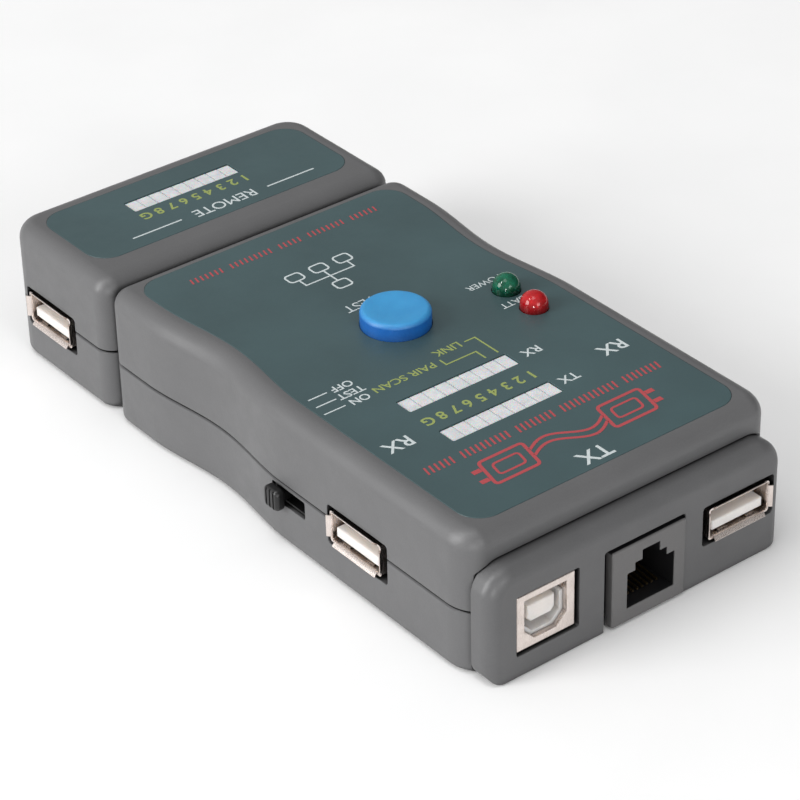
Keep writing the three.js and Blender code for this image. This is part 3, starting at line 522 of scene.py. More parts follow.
def make_label_finish():
    """Polyester film with a fine orange-peel coat over a printed ground."""
    finish = Finish("label_film")
    ground = finish.blotches(22, 3, "364c4f", "3e5659")
    colour = finish.blotches(0.25, 1, ground, "486265", 0.12)
    peel = finish.bump(finish.noise(0.7, 2), 0.006, 0.4)
    return finish.surface(colour, (3, 3, 0.36, 0.48), peel, Coat_Weight=0.15, Coat_Roughness=0.3)


def make_ink(name, code):
    """Screen-printed ink: slightly uneven in cover, and matt."""
    finish = Finish(name)
    thin = (*[part * 0.78 + 0.02 for part in srgb(code)[:3]], 1)
    colour = finish.blotches(0.35, 3, thin, code)
    return finish.surface(colour, (0.5, 2, 0.5, 0.65), finish.bump(finish.noise(0.2, 2), 0.004, 0.5))


def make_diffuser():
    """Milky diffuser plastic over white reflector cups, with painted shade in its grooves."""
    finish = Finish("diffuser_plastic")
    # Painted shade: greyer where the surface is shut in, as in the grooves between cells.
    colour = finish.crevice_shade(finish.blotches(1.6, 3, "d0d2d4", "e2e2e4"), "9c9da1", 0.4)
    finish.set(Subsurface_Weight=0.3, Subsurface_Scale=1 * MM, Coat_Weight=0.2)
    return finish.surface(colour, (0.8, 2, 0.3, 0.45), finish.bump(finish.noise(0.3, 2), 0.004, 0.4))


def make_button_finish():
    """Blue moulding with painted light: lighter on the faces that look up, darker on the sides, and
    painted shade where it meets other surfaces.
    """
    finish = Finish("button_plastic")
    # Painted light: a shaded blue on the sides, a paler lit blue on top.
    painted_light_share = finish.part(finish.node("ShaderNodeTexCoord").outputs["Normal"], "Z")
    side = finish.blotches(5, 3, "075cac", "0b67ba")
    top = finish.blotches(5, 3, "348fc8", "3c9ad2")
    colour = finish.crevice_shade(finish.mix(painted_light_share, side, top), "0c3568", 1.5)
    finish.set(Subsurface_Weight=0.05, Subsurface_Scale=1 * MM)
    return finish.surface(colour, (2, 3, 0.4, 0.52), finish.bump(finish.cells(0.3), 0.008, 0.6))


def make_lens(name, deep, bright):
    """Tinted epoxy of a lamp, cloudy, with painted shade that makes it darker towards its foot, down
    in its hole.
    """
    finish = Finish(name)
    # Painted shade: the epoxy goes dark from just above the label down to its foot.
    level = finish.part(finish.place, "Z")
    clear = finish.ramp(level, (label_high.z - 0.3) * MM, (label_high.z + 1.9) * MM)
    colour = finish.mix(clear, scaled(deep, 0.25), finish.blotches(1.5, 2, deep, bright))
    finish.set(Transmission_Weight=0.4, IOR=1.45, Subsurface_Weight=0.2, Subsurface_Scale=2 * MM)
    return finish.surface(colour, (0.8, 2, 0.06, 0.14), finish.bump(finish.noise(1.2, 1), 0.006, 0.3))


def make_board_finish():
    """Green solder mask over tracks, with the tracks a little raised."""
    finish = Finish("circuit_board")
    black, white = (0, 0, 0, 1), (1, 1, 1, 1)
    values = {"Vector": finish.place, "Scale": 1 / (4 * MM), "Mortar Size": 0.06}
    values.update({"Color1": black, "Color2": black, "Mortar": white})
    tracks = finish.node("ShaderNodeTexBrick", values).outputs["Fac"]
    colour = finish.blotches(0.3, 2, finish.mix(tracks, "17472f", "2b7048"), "0f3322", 0.2)
    raised = finish.bump(tracks, 0.03, 0.6)
    return finish.surface(colour, (2, 2, 0.3, 0.42), raised, Coat_Weight=0.3)


def make_battery_finish():
    """Printed foil jacket with a copper band at the terminal end and scuffs along it."""
    finish = Finish("battery_jacket")
    band_start = box("battery_9v")[1].x - 14.5
    copper = finish.ramp(finish.part(finish.place, "X"), band_start * MM, (band_start + 0.4) * MM)
    scuff = finish.spread(finish.noise(1.2, 5, 0.7, (0.3, 1, 1)), 0, 0.25)
    colour = finish.mix(scuff, finish.mix(copper, "26282e", "b07a3c"), "6b6c70")
    dents = finish.bump(finish.noise(0.8, 2), 0.01, 0.4)
    return finish.surface(colour, (2, 3, 0.28, 0.42), dents, Metallic=0.35)


casing = moulded("casing_plastic", "616162", 0.42, drift=0.05, gap_shade="101010")
casing_bezel = moulded("bezel_plastic", "5b5b5c", 0.42, drift=0.05, gap_shade="101010")
jack_plastic = moulded("jack_plastic", "646363", 0.45, grain=0.25, depth=0.008)
# Painted shade: near-black plastic stands for the shade deep inside a jack's mouth.
jack_painted_shade = moulded("jack_painted_shade_plastic", "19191b", 0.4, grain=0.25, depth=0.006)
black_plastic = moulded("black_plastic", "111112", 0.36, grain=0.2, depth=0.008)
white_plastic = moulded("white_plastic", "ebe5e0", 0.36, grain=0.3, depth=0.004, dust_and_shade=0.2)
white_plastic.set(Subsurface_Weight=0.8, Subsurface_Radius=(1.0, 0.9, 0.8))
white_plastic.set(Subsurface_Scale=2.5 * MM)
nickel = metal("nickel_plating", "efe4de", 0.26)
steel = metal("zinc_steel", "a4a6a8", 0.3)
gold = metal("gold_plating", "e0b252", 0.22)
contact_wire = metal("contact_wire_plating", "a08a5c", 0.3)
label_film = make_label_finish()
ink_white = make_ink("ink_white", "d3dcdd")
ink_yellow = make_ink("ink_yellow", "9aa85c")
ink_red = make_ink("ink_red", "b8444a")
diffuser = make_diffuser()
button_plastic = make_button_finish()
red_lens = make_lens("red_lens", "bc0812", "ea242c")
green_lens = make_lens("green_lens", "04563c", "0a8260")
board_finish = make_board_finish()
battery_finish = make_battery_finish()
red_lead = moulded("red_lead_sleeve", "b3221f", 0.42, grain=0.2, depth=0.004)
black_lead = moulded("black_lead_sleeve", "1b1b1d", 0.42, grain=0.2, depth=0.004)


# ---- Pieces ----


def present(thing, body, finish, slot, *nodes):
    """Shades a piece, gives it its finish and lets it ride on a body in place of CAD nodes."""
    mesh = thing.data
    mesh.polygons.foreach_set("use_smooth", [True] * len(mesh.polygons))
    mesh.set_sharp_from_angle(angle=SHARP_ANGLE)
    weighted = thing.modifiers.new("weighted", "WEIGHTED_NORMAL")
    weighted.keep_sharp = True
    bake(thing)
    thing.data.materials.clear()
    thing.data.materials.append(finish.material)
    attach(thing, body)
    if nodes:
        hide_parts(*nodes)


def keep(node, finish):
    """A CAD node that stays as it is, with a better finish."""
    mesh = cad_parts[node].data
    mesh.materials.clear()
    mesh.materials.append(finish.material)


# ---- Openings in the casings, most of them named after the node that shows in them ----

LAMP_RADIUS = 2.5
BUTTON_RADIUS = 6.15
USB_HOLE = (15.6, 7.6)
USB_HOLE_CORNER = 0.6
USB_HOLE_OFFSET = 0.4
USB_B_GAP = 0.4
USB_B_OFFSET = (-0.25, -0.1)
JACK_CLEARANCE = 0.3
JACK_GAPS = (0.12, 1.3)
SLOT_SIZE = (9.0, 3.4)
SLOT_Z = 9.6
SLOT_Y = along_y(51)
SOCKET_CORNER = 0.4
HOLE_EDGE = 0.18
FACE_HOLE_DEPTH = 5
SIDE_HOLE_DEPTH = 4.5
END_HOLE_DEPTH = 8
FOOT_HOLE_DEPTH = 3
SCREW_HOLE_RADIUS = 2.7
SCREW_HOLE_EDGE = 0.35
DOOR_HOLE_CORNER = 0.8
DOOR_HOLE_EDGE = 0.25


def bar_opening(node, gap=GAP, flare=0.0):
    size = size_of(node)
    outline = rounded(size.x + 2 * gap, size.y + 2 * gap, 0.3, 3)
    return hole(outline, upright(node, label_high.z), FACE_HOLE_DEPTH, flare)


def round_opening(node, radius, gap, flare):
    place = upright(node, label_high.z)
    return hole(circle(radius + gap), place, FACE_HOLE_DEPTH, flare)


def face_openings(gap=GAP, flare=0.0):
    return [
        bar_opening("tx_light_bar", gap, flare),
        bar_opening("rx_light_bar", gap, flare),
        round_opening("low_battery_lamp", LAMP_RADIUS, gap, flare),
        round_opening("power_lamp", LAMP_RADIUS, gap, flare),
        round_opening("test_button_cap", BUTTON_RADIUS, gap, flare),
    ]


def side_opening(side, middle, width, height, radius):
    """A hole in the side wall at +X or -X, with a softened edge."""
    place = facing((side, 0, 0), (side * HALF_WIDTH, middle.y, middle.z))
    return hole(rounded(width, height, radius, 4), place, SIDE_HOLE_DEPTH, HOLE_EDGE)


def usb_opening(node):
    middle = centre_of(node) + Vector((0, USB_HOLE_OFFSET, 0))
    return side_opening(1, middle, *USB_HOLE, USB_HOLE_CORNER)


def jack_opening(node):
    size = size_of(node)
    width, height = size.y + 2 * JACK_CLEARANCE, size.z + 2 * JACK_CLEARANCE
    return side_opening(-1, centre_of(node), width, height, SOCKET_CORNER)


def screw_recess(node):
    outline = circle(SCREW_HOLE_RADIUS, 40)
    return hole(outline, underneath(node), FOOT_HOLE_DEPTH, SCREW_HOLE_EDGE)


# ---- The upright rail on the dock wall, and the channel of the remote unit that it fits ----

RAIL_NECK = 2.2
RAIL_HEAD = 4.5
RAIL_STANDOFF = 2.4
RAIL_LOW = 2.5
RAIL_HIGH = 19.5
CHANNEL_HIGH = 20
BLOCK_HALF = 6.6
BLOCK_DEPTH = 6.7
BLOCK_INSET = 0.5
BLOCK_HIGH = 21.6


def tee_rail(low, high):
    """The rail between two heights: a head that stands off the wall on a narrower neck."""
    neck_end = DOCK_Y - RAIL_STANDOFF
    neck = slab("rail", (-RAIL_NECK, neck_end - 0.4, low), (RAIL_NECK, DOCK_Y + 0.5, high), 0.15)
    head = slab("head", (-RAIL_HEAD, top_low.y, low), (RAIL_HEAD, neck_end, high), 0.3)
    return combine(neck, [head], "UNION")


def tee_channel():
    """A cutter for the channel, open downwards, with a gap all round the rail."""
    neck_half, head_half = RAIL_NECK + GAP, RAIL_HEAD + GAP
    wall = remote_high.y + 1
    head_end = DOCK_Y - RAIL_STANDOFF + GAP
    neck = slab("neck", (-neck_half, DOCK_Y - 3, -FAR), (neck_half, wall, CHANNEL_HIGH))
    head = slab("head", (-head_half, top_low.y - GAP, -FAR), (head_half, head_end, CHANNEL_HIGH))
    return combine(neck, [head], "UNION")


def channel_block(low, high):
    """The solid part of the remote unit's end that the channel is cut in."""
    near = remote_high.y - BLOCK_INSET
    far = remote_high.y - BLOCK_DEPTH
    return slab("block", (-BLOCK_HALF, far, low), (BLOCK_HALF, near, high))


# ---- Casings ----

main_plan = plan(DOCK_Y, top_high.y, HALF_WIDTH, DOCK_CORNER, PORT_CORNER, True)
remote_ends = (remote_low.y, remote_high.y)
remote_plan = plan(*remote_ends, HALF_WIDTH, REMOTE_END_CORNER, DOCK_CORNER, False)


def plan_of_label(node, waisted):
    low, high = box(node)
    return plan(low.y, high.y, high.x, LABEL_CORNER, LABEL_CORNER, waisted)


label_plan = plan_of_label("face_label", True)
remote_label_plan = plan_of_label("remote_label", False)


def bezel_section(depth_below=0):
    """The end piece in X and Z: small corners at its foot, which may be lowered, larger above."""

    def outline(grow):
        half = bezel_high.x + grow
        top = bezel_high.z + grow
        radius = BEZEL_CORNER + grow
        heel = BEZEL_HEEL + grow
        foot = bezel_low.z - depth_below - grow
        points = arc((half - heel, foot + heel), (heel, heel), -90, RIM_STEPS)
        points += arc((half - radius, top - radius), (radius, radius), 0)
        points += arc((-half + radius, top - radius), (radius, radius), 90)
        return points + arc((-half + heel, foot + heel), (heel, heel), 180, RIM_STEPS)

    return outline


def upper_levels():
    """From the parting groove up to a rounded top."""
    groove = [(PARTING_HIGH, -GROOVE_DEPTH), (PARTING_HIGH + GROOVE_WIDTH, 0)]
    return groove + rim(TOP_Z, TOP_FILLET)


def lower_levels():
    """From a rounded foot up to the parting groove."""
    foot = rim(0, BOTTOM_FILLET, leaving=False)
    return foot + [(PARTING_LOW - GROOVE_WIDTH, 0), (PARTING_LOW, -GROOVE_DEPTH)]


def label_recess(outline):
    """A cutter for the shallow recess that a label lies in."""
    return lofted("recess", outline, [(LABEL_FLOOR, LABEL_GAP), (TOP_Z + FAR, LABEL_GAP)])


def make_main_top():
    shell = lofted("main_cover_upper", main_plan, upper_levels())
    ceiling = TOP_Z - WALL
    inside = [(0, -WALL), (ceiling - HOLLOW_EDGE, -WALL), (ceiling, -WALL - HOLLOW_EDGE)]
    bay = [(-PORT_BAY_DEPTH, -WALL), (1, -WALL)]
    ports = lofted("ports", bezel_section(), bay, facing_end(0, PORT_Y, 0))
    combine(shell, [lofted("hollow", main_plan, inside), ports])
    combine(shell, [tee_rail(PARTING_HIGH, RAIL_HIGH)], "UNION")
    seam_levels = [(0, GAP), (SEAM_REACH, GAP)]
    cuts = [
        lofted("seam", bezel_section(), seam_levels, facing_end(0, bezel_low.y, 0)),
        label_recess(label_plan),
        *face_openings(),
        usb_opening("usb_a_side_shell"),
        jack_opening("rj45_rx_jack"),
    ]
    combine(shell, cuts)
    present(shell, "main_unit", casing, "casing", "main_top_shell")


def make_main_bottom():
    shell = lofted("main_cover_lower", main_plan, lower_levels())
    hollow = lofted("hollow", main_plan, [(WALL, -WALL), (FAR, -WALL)])
    bay_half = HALF_WIDTH - PORT_BAY_SIDE
    bay = slab("front", (-bay_half, along_y(PORT_BAY_DEPTH), WALL), (bay_half, PORT_Y, FAR))
    combine(shell, [hollow, bay])
    combine(shell, [tee_rail(RAIL_LOW, PARTING_LOW)], "UNION")
    size = size_of("battery_door")
    door = rounded(size.x + 2 * GAP, size.y + 2 * GAP, DOOR_HOLE_CORNER, 4)
    cuts = [
        slab("seam", (-FAR, bezel_low.y - GAP, -FAR), (FAR, PORT_Y + 1, FAR)),
        hole(door, underneath("battery_door"), FOOT_HOLE_DEPTH, DOOR_HOLE_EDGE),
        side_opening(1, Vector((HALF_WIDTH, SLOT_Y, SLOT_Z)), *SLOT_SIZE, SOCKET_CORNER),
        usb_opening("usb_a_side_shell"),
        jack_opening("rj45_rx_jack"),
        *[screw_recess(f"case_screw_{index}") for index in (1, 2, 3, 4)],
    ]
    combine(shell, cuts)
    present(shell, "main_unit", casing, "casing", "main_bottom_shell")


def make_bezel():
    """The end piece. Its front edge is round at the top and sides and nearly square at the foot."""
    depth = bezel_high.y - bezel_low.y
    end = facing_end(0, PORT_Y, 0)
    back = [(-depth, -SEAM_EDGE), (-depth + SEAM_EDGE, 0)]
    shell = lofted("port_end_bezel", bezel_section(), back + rim(0, BEZEL_FOOT_EDGE, 3), end)
    fronted = lofted("fronted", bezel_section(10), [(-2 * depth, 0)] + rim(0, BEZEL_FILLET), end)
    combine(shell, [fronted], "INTERSECT")
    usb_a = centre_of("usb_a_end_shell")
    usb_a_place = facing_end(usb_a.x + USB_HOLE_OFFSET / 4, PORT_Y, usb_a.z)
    usb_b, size = centre_of("usb_b_shell"), size_of("usb_b_shell")
    usb_b_place = facing_end(usb_b.x + USB_B_OFFSET[0], PORT_Y, usb_b.z + USB_B_OFFSET[1])
    usb_b_hole = rounded(size.x + 2 * USB_B_GAP, size.z + 2 * USB_B_GAP, SOCKET_CORNER, 4)
    jack_low, jack_high = box("rj45_tx_jack")
    jack_x = (jack_low.x - JACK_GAPS[0] + jack_high.x + JACK_GAPS[1]) / 2
    jack_top = jack_high.z + 2 * GAP
    below = 10
    jack_place = facing_end(jack_x, PORT_Y, (jack_top - below) / 2)
    jack_hole = rounded(jack_high.x - jack_low.x + sum(JACK_GAPS), jack_top + below, 0.5, 4)
    cuts = [
        lofted("hollow", bezel_section(), [(-depth - 1, -WALL), (-WALL, -WALL)], end),
        hole(rounded(*USB_HOLE, USB_HOLE_CORNER, 4), usb_a_place, END_HOLE_DEPTH, HOLE_EDGE),
        hole(usb_b_hole, usb_b_place, END_HOLE_DEPTH, HOLE_EDGE),
        hole(jack_hole, jack_place, END_HOLE_DEPTH, HOLE_EDGE),
    ]
    combine(shell, cuts)
    present(shell, "main_unit", casing_bezel, "casing", "port_bezel")


def make_remote_top():
    shell = lofted("remote_cover_upper", remote_plan, upper_levels())
    combine(shell, [lofted("hollow", remote_plan, [(0, -WALL), (TOP_Z - WALL, -WALL)])])
    combine(shell, [channel_block(PARTING_HIGH, BLOCK_HIGH)], "UNION")
    cuts = [
        tee_channel(),
        label_recess(remote_label_plan),
        bar_opening("remote_light_bar"),
        usb_opening("remote_usb_a_shell"),
        jack_opening("remote_rj45_jack"),
    ]
    combine(shell, cuts)
    present(shell, "remote_unit", casing, "casing", "remote_top_shell")


def make_remote_bottom():
    shell = lofted("remote_cover_lower", remote_plan, lower_levels())
    combine(shell, [lofted("hollow", remote_plan, [(WALL, -WALL), (FAR, -WALL)])])
    combine(shell, [channel_block(WALL - 0.5, PARTING_LOW)], "UNION")
    cuts = [
        tee_channel(),
        usb_opening("remote_usb_a_shell"),
        jack_opening("remote_rj45_jack"),
        *[screw_recess(f"remote_screw_{index}") for index in (1, 2)],
    ]
    combine(shell, cuts)
    present(shell, "remote_unit", casing, "casing", "remote_bottom_shell")


make_main_top()
make_main_bottom()
make_bezel()
make_remote_top()
make_remote_bottom()

# ---- Labels, and their print in millimetres: X, and the distance from the port end ----

INK_LOW = 0.004
INK_HIGH = 0.03
FILM_EDGE = 0.06
FILM_HOLE_EDGE = 0.05


def make_label(name, outline, node, body, openings):
    low, high = box(node)
    film = lofted(name, outline, [(low.z, 0), (high.z - FILM_EDGE, 0), (high.z, -FILM_EDGE)])
    combine(film, openings)
    present(film, body, label_film, "label", node)


class Print:
    """Ink of one colour on one label, gathered as small flat solids."""

    def __init__(self, base_z):
        self.low = base_z + INK_LOW
        self.high = base_z + INK_HIGH
        self.parts = []

    def line(self, points, width, closed=False):
        self.parts.append(band(points, width, self.low, self.high, closed=closed))

    def text(self, words, x, distance, height, weight=0.0, width=None):
        """Words in Blender's own face, centred on a place, with that capital height."""
        curve = bpy.data.curves.new("words", "FONT")
        curve.body = words
        curve.extrude = 0.5
        curve.offset = weight
        curve.resolution_u = 6
        holder = bpy.data.objects.new("words", curve)
        bpy.context.scene.collection.objects.link(holder)
        graph = bpy.context.evaluated_depsgraph_get()
        mesh = bpy.data.meshes.new_from_object(holder.evaluated_get(graph))
        bpy.data.objects.remove(holder)
        xs = [vertex.co.x for vertex in mesh.vertices]
        ys = [vertex.co.y for vertex in mesh.vertices]
        scale_y = height / (max(ys) - min(ys))
        scale_x = width / (max(xs) - min(xs)) if width else scale_y
        middle = Vector(((max(xs) + min(xs)) / 2, (max(ys) + min(ys)) / 2, 0))
        spot = Vector((x, along_y(distance), (self.low + self.high) / 2))
        size = Matrix.Diagonal((scale_x * MM, scale_y * MM, (INK_HIGH - INK_LOW) * MM, 1))
        mesh.transform(Matrix.Translation(spot * MM) @ size @ Matrix.Translation(-middle))
        builder = bmesh.new()
        builder.from_mesh(mesh)
        bmesh.ops.remove_doubles(builder, verts=builder.verts, dist=1e-7)
        bmesh.ops.recalc_face_normals(builder, faces=builder.faces)
        builder.to_mesh(mesh)
        builder.free()
        self.parts.append(bpy.data.objects.new("words", mesh))
        bpy.context.scene.collection.objects.link(self.parts[-1])

    def ring(self, x, distance, width, height, stroke, slant=0.0):
        """The outline of a box with round corners, leaning by the slant."""
        y = along_y(distance)
        corners = rounded(width, height, 0.7, 4)(0)
        points = [(x + u + slant * v, y + v) for u, v in corners]
        self.line(points, stroke, closed=True)

    def hatch(self, x_low, x_high, distance, height, groups, stroke):
        """Groups of short slanted strokes that fill a line from one end to the other."""
        space = 1.2
        strokes = sum(groups) + space * (len(groups) - 1)
        step = (x_high - x_low) / strokes
        x = x_low + step / 2
        lean = height * 0.1
        low, high = along_y(distance) - height / 2, along_y(distance) + height / 2
        for group in groups:
            for _ in range(group):
                self.line([(x - lean, low), (x + lean, high)], stroke)
                x += step
            x += space * step

    def scale(self, x, distance):
        """The numbers of the nine lights along a light bar."""
        for index, mark in enumerate(SCALE_MARKS):
            offset = (index - (len(SCALE_MARKS) - 1) / 2) * SCALE_PITCH
            self.text(mark, x + offset, distance, 2.3, 0.02)

    def finish(self, name, body, ink):
        present(merged(name, self.parts), body, ink, "label")


SCALE_PITCH = 2.71
SCALE_MARKS = "12345678G"
BOLD = 0.01
# Each word on the face: what it says, where its middle is, its height and its weight.
FACE_WORDS = (
    ("TX", 1.3, 10.0, 3.3, BOLD),
    ("TX", -10.2, 29.5, 2.0, BOLD),
    ("RX", -10.8, 39.8, 2.0, BOLD),
    ("RX", -21.8, 32.0, 2.9, BOLD),
    ("RX", 23.5, 32.0, 2.9, BOLD),
    ("TEST", 1.6, 70.0, 2.2, 0.0),
    ("POWER", -18.9, 61.9, 1.5, 0.0),
    ("BATT", -18.6, 53.7, 1.5, 0.0),
)
SWITCH_WORDS = ("ON", "TEST", "OFF")
SWITCH_WORDS_X = 19.9
SWITCH_LINES_X = (22.9, 27.2)
THIN_LINE = 0.3


def print_white():
    ink = Print(label_high.z)
    for word in FACE_WORDS:
        ink.text(*word)
    for index, word in enumerate(SWITCH_WORDS):
        distance = 46.5 + 2.5 * index
        ink.text(word, SWITCH_WORDS_X, distance, 1.75, BOLD)
        y = along_y(distance)
        ink.line([(SWITCH_LINES_X[0], y), (SWITCH_LINES_X[1] - 0.25 * index, y)], 0.26)
    print_tree(ink)
    ink.finish("face_print_white", "main_unit", ink_white)


def print_tree(ink):
    """A small tree of boxes, for a network."""
    middle, branch = -0.2, 5.2
    root, leaves = 77.6, 84.4
    shoulder, leaf_top = along_y(81), along_y(82.95)
    for x, distance in ((0, root), (-branch, leaves), (0, leaves), (branch, leaves)):
        ink.ring(middle + x, distance, 3.1, 2.5, 0.34)
    ink.line([(middle, along_y(79.05)), (middle, leaf_top)], THIN_LINE)
    for side in (-1, 1):
        end = middle + side * branch
        ink.line([(middle + side * 0.2, shoulder), (end, shoulder), (end, leaf_top)], THIN_LINE)


def print_yellow():
    ink = Print(label_high.z)
    ink.scale(4.65, 34.2)
    foot, knee, head = along_y(43.0), along_y(45.6), along_y(49.2)
    ink.line([(-6.4, foot), (-6.4, head), (-4.2, head)], THIN_LINE)
    ink.line([(-3.7, foot), (-3.7, knee), (2.6, knee), (2.6, along_y(47.4))], THIN_LINE)
    ink.text("LINK", -0.4, 49.2, 1.8, BOLD)
    ink.text("PAIR SCAN", 10.4, 46.9, 1.7, BOLD, width=12.6)
    ink.finish("face_print_yellow", "main_unit", ink_yellow)


def print_red():
    """Two outlined plugs joined by a lead, between two rows of hatching."""
    ink = Print(label_high.z)
    slant = 0.22
    centre, distance = 0.9, 16.7
    plug_reach, pin_reach, pin_length = 12.4, 17.3, 1.7
    middle = along_y(distance)
    for side in (-1, 1):
        plug_x = centre + side * plug_reach
        ink.ring(plug_x, distance, 9.0, 6.4, 0.62, slant)
        ink.ring(plug_x, distance, 5.4, 3.0, 0.45, slant)
        for offset in (-1.4, 1.4):
            base = centre + side * pin_reach + slant * offset
            points = [(base, middle + offset), (base + side * pin_length, middle + offset)]
            ink.line(points, 1.0)
    lead_start, lead_length, lead_swing, lead_steps = -6.66, 15.12, 1.7, 40
    for offset in (-0.85, 0.85):
        wave = []
        for step in range(lead_steps + 1):
            share = step / lead_steps
            swing = lead_swing * math.sin(2 * math.pi * share) * (1 - 0.2 * share)
            x = lead_start + lead_length * share + slant * offset
            wave.append((x, middle + offset + swing))
        ink.line(wave, 0.55)
    ink.hatch(-24.5, 25.2, 23.2, 2.0, (8, 12, 8, 10, 6), 0.36)
    ink.hatch(-21.0, 20.0, 94.7, 1.6, (6, 8, 5, 9, 7), 0.32)
    ink.finish("face_print_red", "main_unit", ink_red)


def print_remote():
    remote_label_z = box("remote_label")[1].z
    marks = Print(remote_label_z)
    marks.scale(1.4, 119.2)
    marks.finish("remote_print_yellow", "remote_unit", ink_yellow)
    words = Print(remote_label_z)
    middle, distance = -1.2, 113.9
    words.text("REMOTE", middle, distance, 2.5)
    y = along_y(distance)
    for side in (-1, 1):
        words.line([(middle + side * 9.5, y), (middle + side * 20, y)], 0.34)
    words.finish("remote_print_white", "remote_unit", ink_white)


face_holes = face_openings(FILM_GAP, FILM_HOLE_EDGE)
make_label("face_label_film", label_plan, "face_label", "main_unit", face_holes)
remote_hole = bar_opening("remote_light_bar", FILM_GAP, FILM_HOLE_EDGE)
make_label("remote_label_film", remote_label_plan, "remote_label", "remote_unit", [remote_hole])
print_white()
print_yellow()
print_red()
print_remote()

# ---- Lights, lamps, button and mode knob ----

BAR_CELLS = 9
CELL_GROOVE = 0.3
CELL_GROOVE_DEPTH = 0.12
LAMP_FLANGE = 1.0
LAMP_STEPS = 12
BUTTON_FLANGE = 1.0
BUTTON_EDGE = 0.9
# How far the top of the button has sunk at each radius.
BUTTON_DISH = ((4.2, 0.06), (3.2, 0.14), (1.6, 0.2), (0, 0.22))
KNOB_WIDTH = 4.0
KNOB_CORNER = 1.1
KNOB_SLIDER_OUTER = 28.6
KNOB_SLIDER = (3.0, 1.3)
KNOB_NECK = (1.2, 0.7)
KNOB_RIB_PITCH = 0.95
KNOB_RIB_HALF = 0.18
KNOB_RIB_DEPTH = 0.25


def make_light_bar(node, body):
    """A milky bar with a shallow groove between each two of its nine cells."""
    low, high = box(node)
    size, middle = size_of(node), centre_of(node)
    outline = rounded(size.x, size.y, 0.25, 4, (middle.x, middle.y))
    bar = lofted(node.replace("bar", "diffuser"), outline, [(low.z, 0)] + rim(high.z, 0.15, 3))
    floor = high.z - CELL_GROOVE_DEPTH
    half = CELL_GROOVE / 2
    grooves = []
    for index in range(1, BAR_CELLS):
        x = low.x + size.x * index / BAR_CELLS
        grooves.append(slab("groove", (x - half, low.y - 1, floor), (x + half, high.y + 1, FAR)))
    combine(bar, grooves)
    present(bar, body, diffuser, "diffuser", node)


def make_lamp(node, finish, slot):
    """A 5 mm lamp: a flanged epoxy dome around a small reflector cup on its lead frame."""
    low, high = box(node)
    foot, shoulder = low.z, high.z - LAMP_RADIUS
    flange = (high.x - low.x) / 2
    flange_top = foot + LAMP_FLANGE
    profile = [(0, foot), (flange - 0.1, foot), (flange, foot + 0.1), (flange, flange_top - 0.1)]
    profile += [(flange - 0.1, flange_top), (LAMP_RADIUS, flange_top)]
    for step in range(LAMP_STEPS):
        angle = math.pi / 2 * step / LAMP_STEPS
        height = shoulder + LAMP_RADIUS * math.sin(angle)
        profile.append((LAMP_RADIUS * math.cos(angle), height))
    profile.append((0, high.z))
    dome = turned(node + "_dome", profile, upright(node), 48)
    present(dome, "main_unit", finish, slot, node)
    post, brim, cup_foot, cup_top = 0.35, 1.05, foot + 1.4, shoulder - 0.4
    cup_floor = cup_top - 0.8
    cup_profile = [(0, cup_foot), (post, cup_foot), (post, cup_floor - 0.8), (brim, cup_top)]
    cup_profile += [(brim - 0.2, cup_top), (0.3, cup_floor), (0, cup_floor)]
    cup = turned(node + "_cup", cup_profile, upright(node), 32)
    present(cup, "main_unit", steel, "steel")


def make_button():
    """The round button, with a flange under the face and a slightly dished top."""
    node = "test_button_cap"
    low, high = box(node)
    flange, flange_top = (high.x - low.x) / 2, low.z + BUTTON_FLANGE
    profile = [(0, low.z), (flange, low.z), (flange, flange_top), (BUTTON_RADIUS, flange_top)]
    profile += [(BUTTON_RADIUS + grow, height) for height, grow in rim(high.z, BUTTON_EDGE, 8)]
    profile += [(radius, high.z - drop) for radius, drop in BUTTON_DISH]
    cap = turned("test_button_blue", profile, upright(node), 96)
    present(cap, "test_button", button_plastic, "button", node)


def make_knob():
    """The mode knob: a ribbed head on a neck, which comes through the slot from a slider."""
    node = "mode_switch_knob"
    low, high = box(node)
    head_inner = HALF_WIDTH + GAP
    y = low.y + KNOB_SLIDER[0]
    place = facing((1, 0, 0), (high.x, y, (low.z + high.z) / 2))
    head = rounded(KNOB_WIDTH, high.z - low.z, KNOB_CORNER, 8)
    levels = rim(head_inner - high.x, 0.4, 4, leaving=False) + rim(0, 0.7, 6)
    knob = lofted("mode_knob_ribbed", head, levels, place)

    def inner_slab(name, low_x, high_x, half_size, edge=0.0):
        half_y, half_z = half_size
        low_corner = (low_x, y - half_y, SLOT_Z - half_z)
        return slab(name, low_corner, (high_x, y + half_y, SLOT_Z + half_z), edge)

    neck = inner_slab("neck", KNOB_SLIDER_OUTER - 0.3, head_inner + 0.6, KNOB_NECK)
    slider = inner_slab("slider", low.x, KNOB_SLIDER_OUTER, KNOB_SLIDER, 0.15)
    combine(knob, [neck, slider], "UNION")
    grooves = []
    for index in (-1, 0, 1):
        rib_low = y + index * KNOB_RIB_PITCH - KNOB_RIB_HALF
        rib_high = y + index * KNOB_RIB_PITCH + KNOB_RIB_HALF
        low_corner = (high.x - KNOB_RIB_DEPTH, rib_low, low.z - 1)
        grooves.append(slab("rib", low_corner, (FAR, rib_high, high.z + 1)))
    combine(knob, grooves)
    present(knob, "mode_knob", black_plastic, "black_plastic", node)


make_light_bar("tx_light_bar", "main_unit")
make_light_bar("rx_light_bar", "main_unit")
make_light_bar("remote_light_bar", "remote_unit")
make_lamp("low_battery_lamp", red_lens, "red_lens")
make_lamp("power_lamp", green_lens, "green_lens")
make_button()
make_knob()

# ---- Sockets: heights of their levels are measured outwards from the mouth ----

USB_TUBE = (13.2, 5.9)
USB_SHEET = 0.4
USB_LIP = 0.48
USB_NOTCH = (1.5, 1.35)
USB_NOTCH_DEPTH = 0.6
USB_DEPTH = 14.0
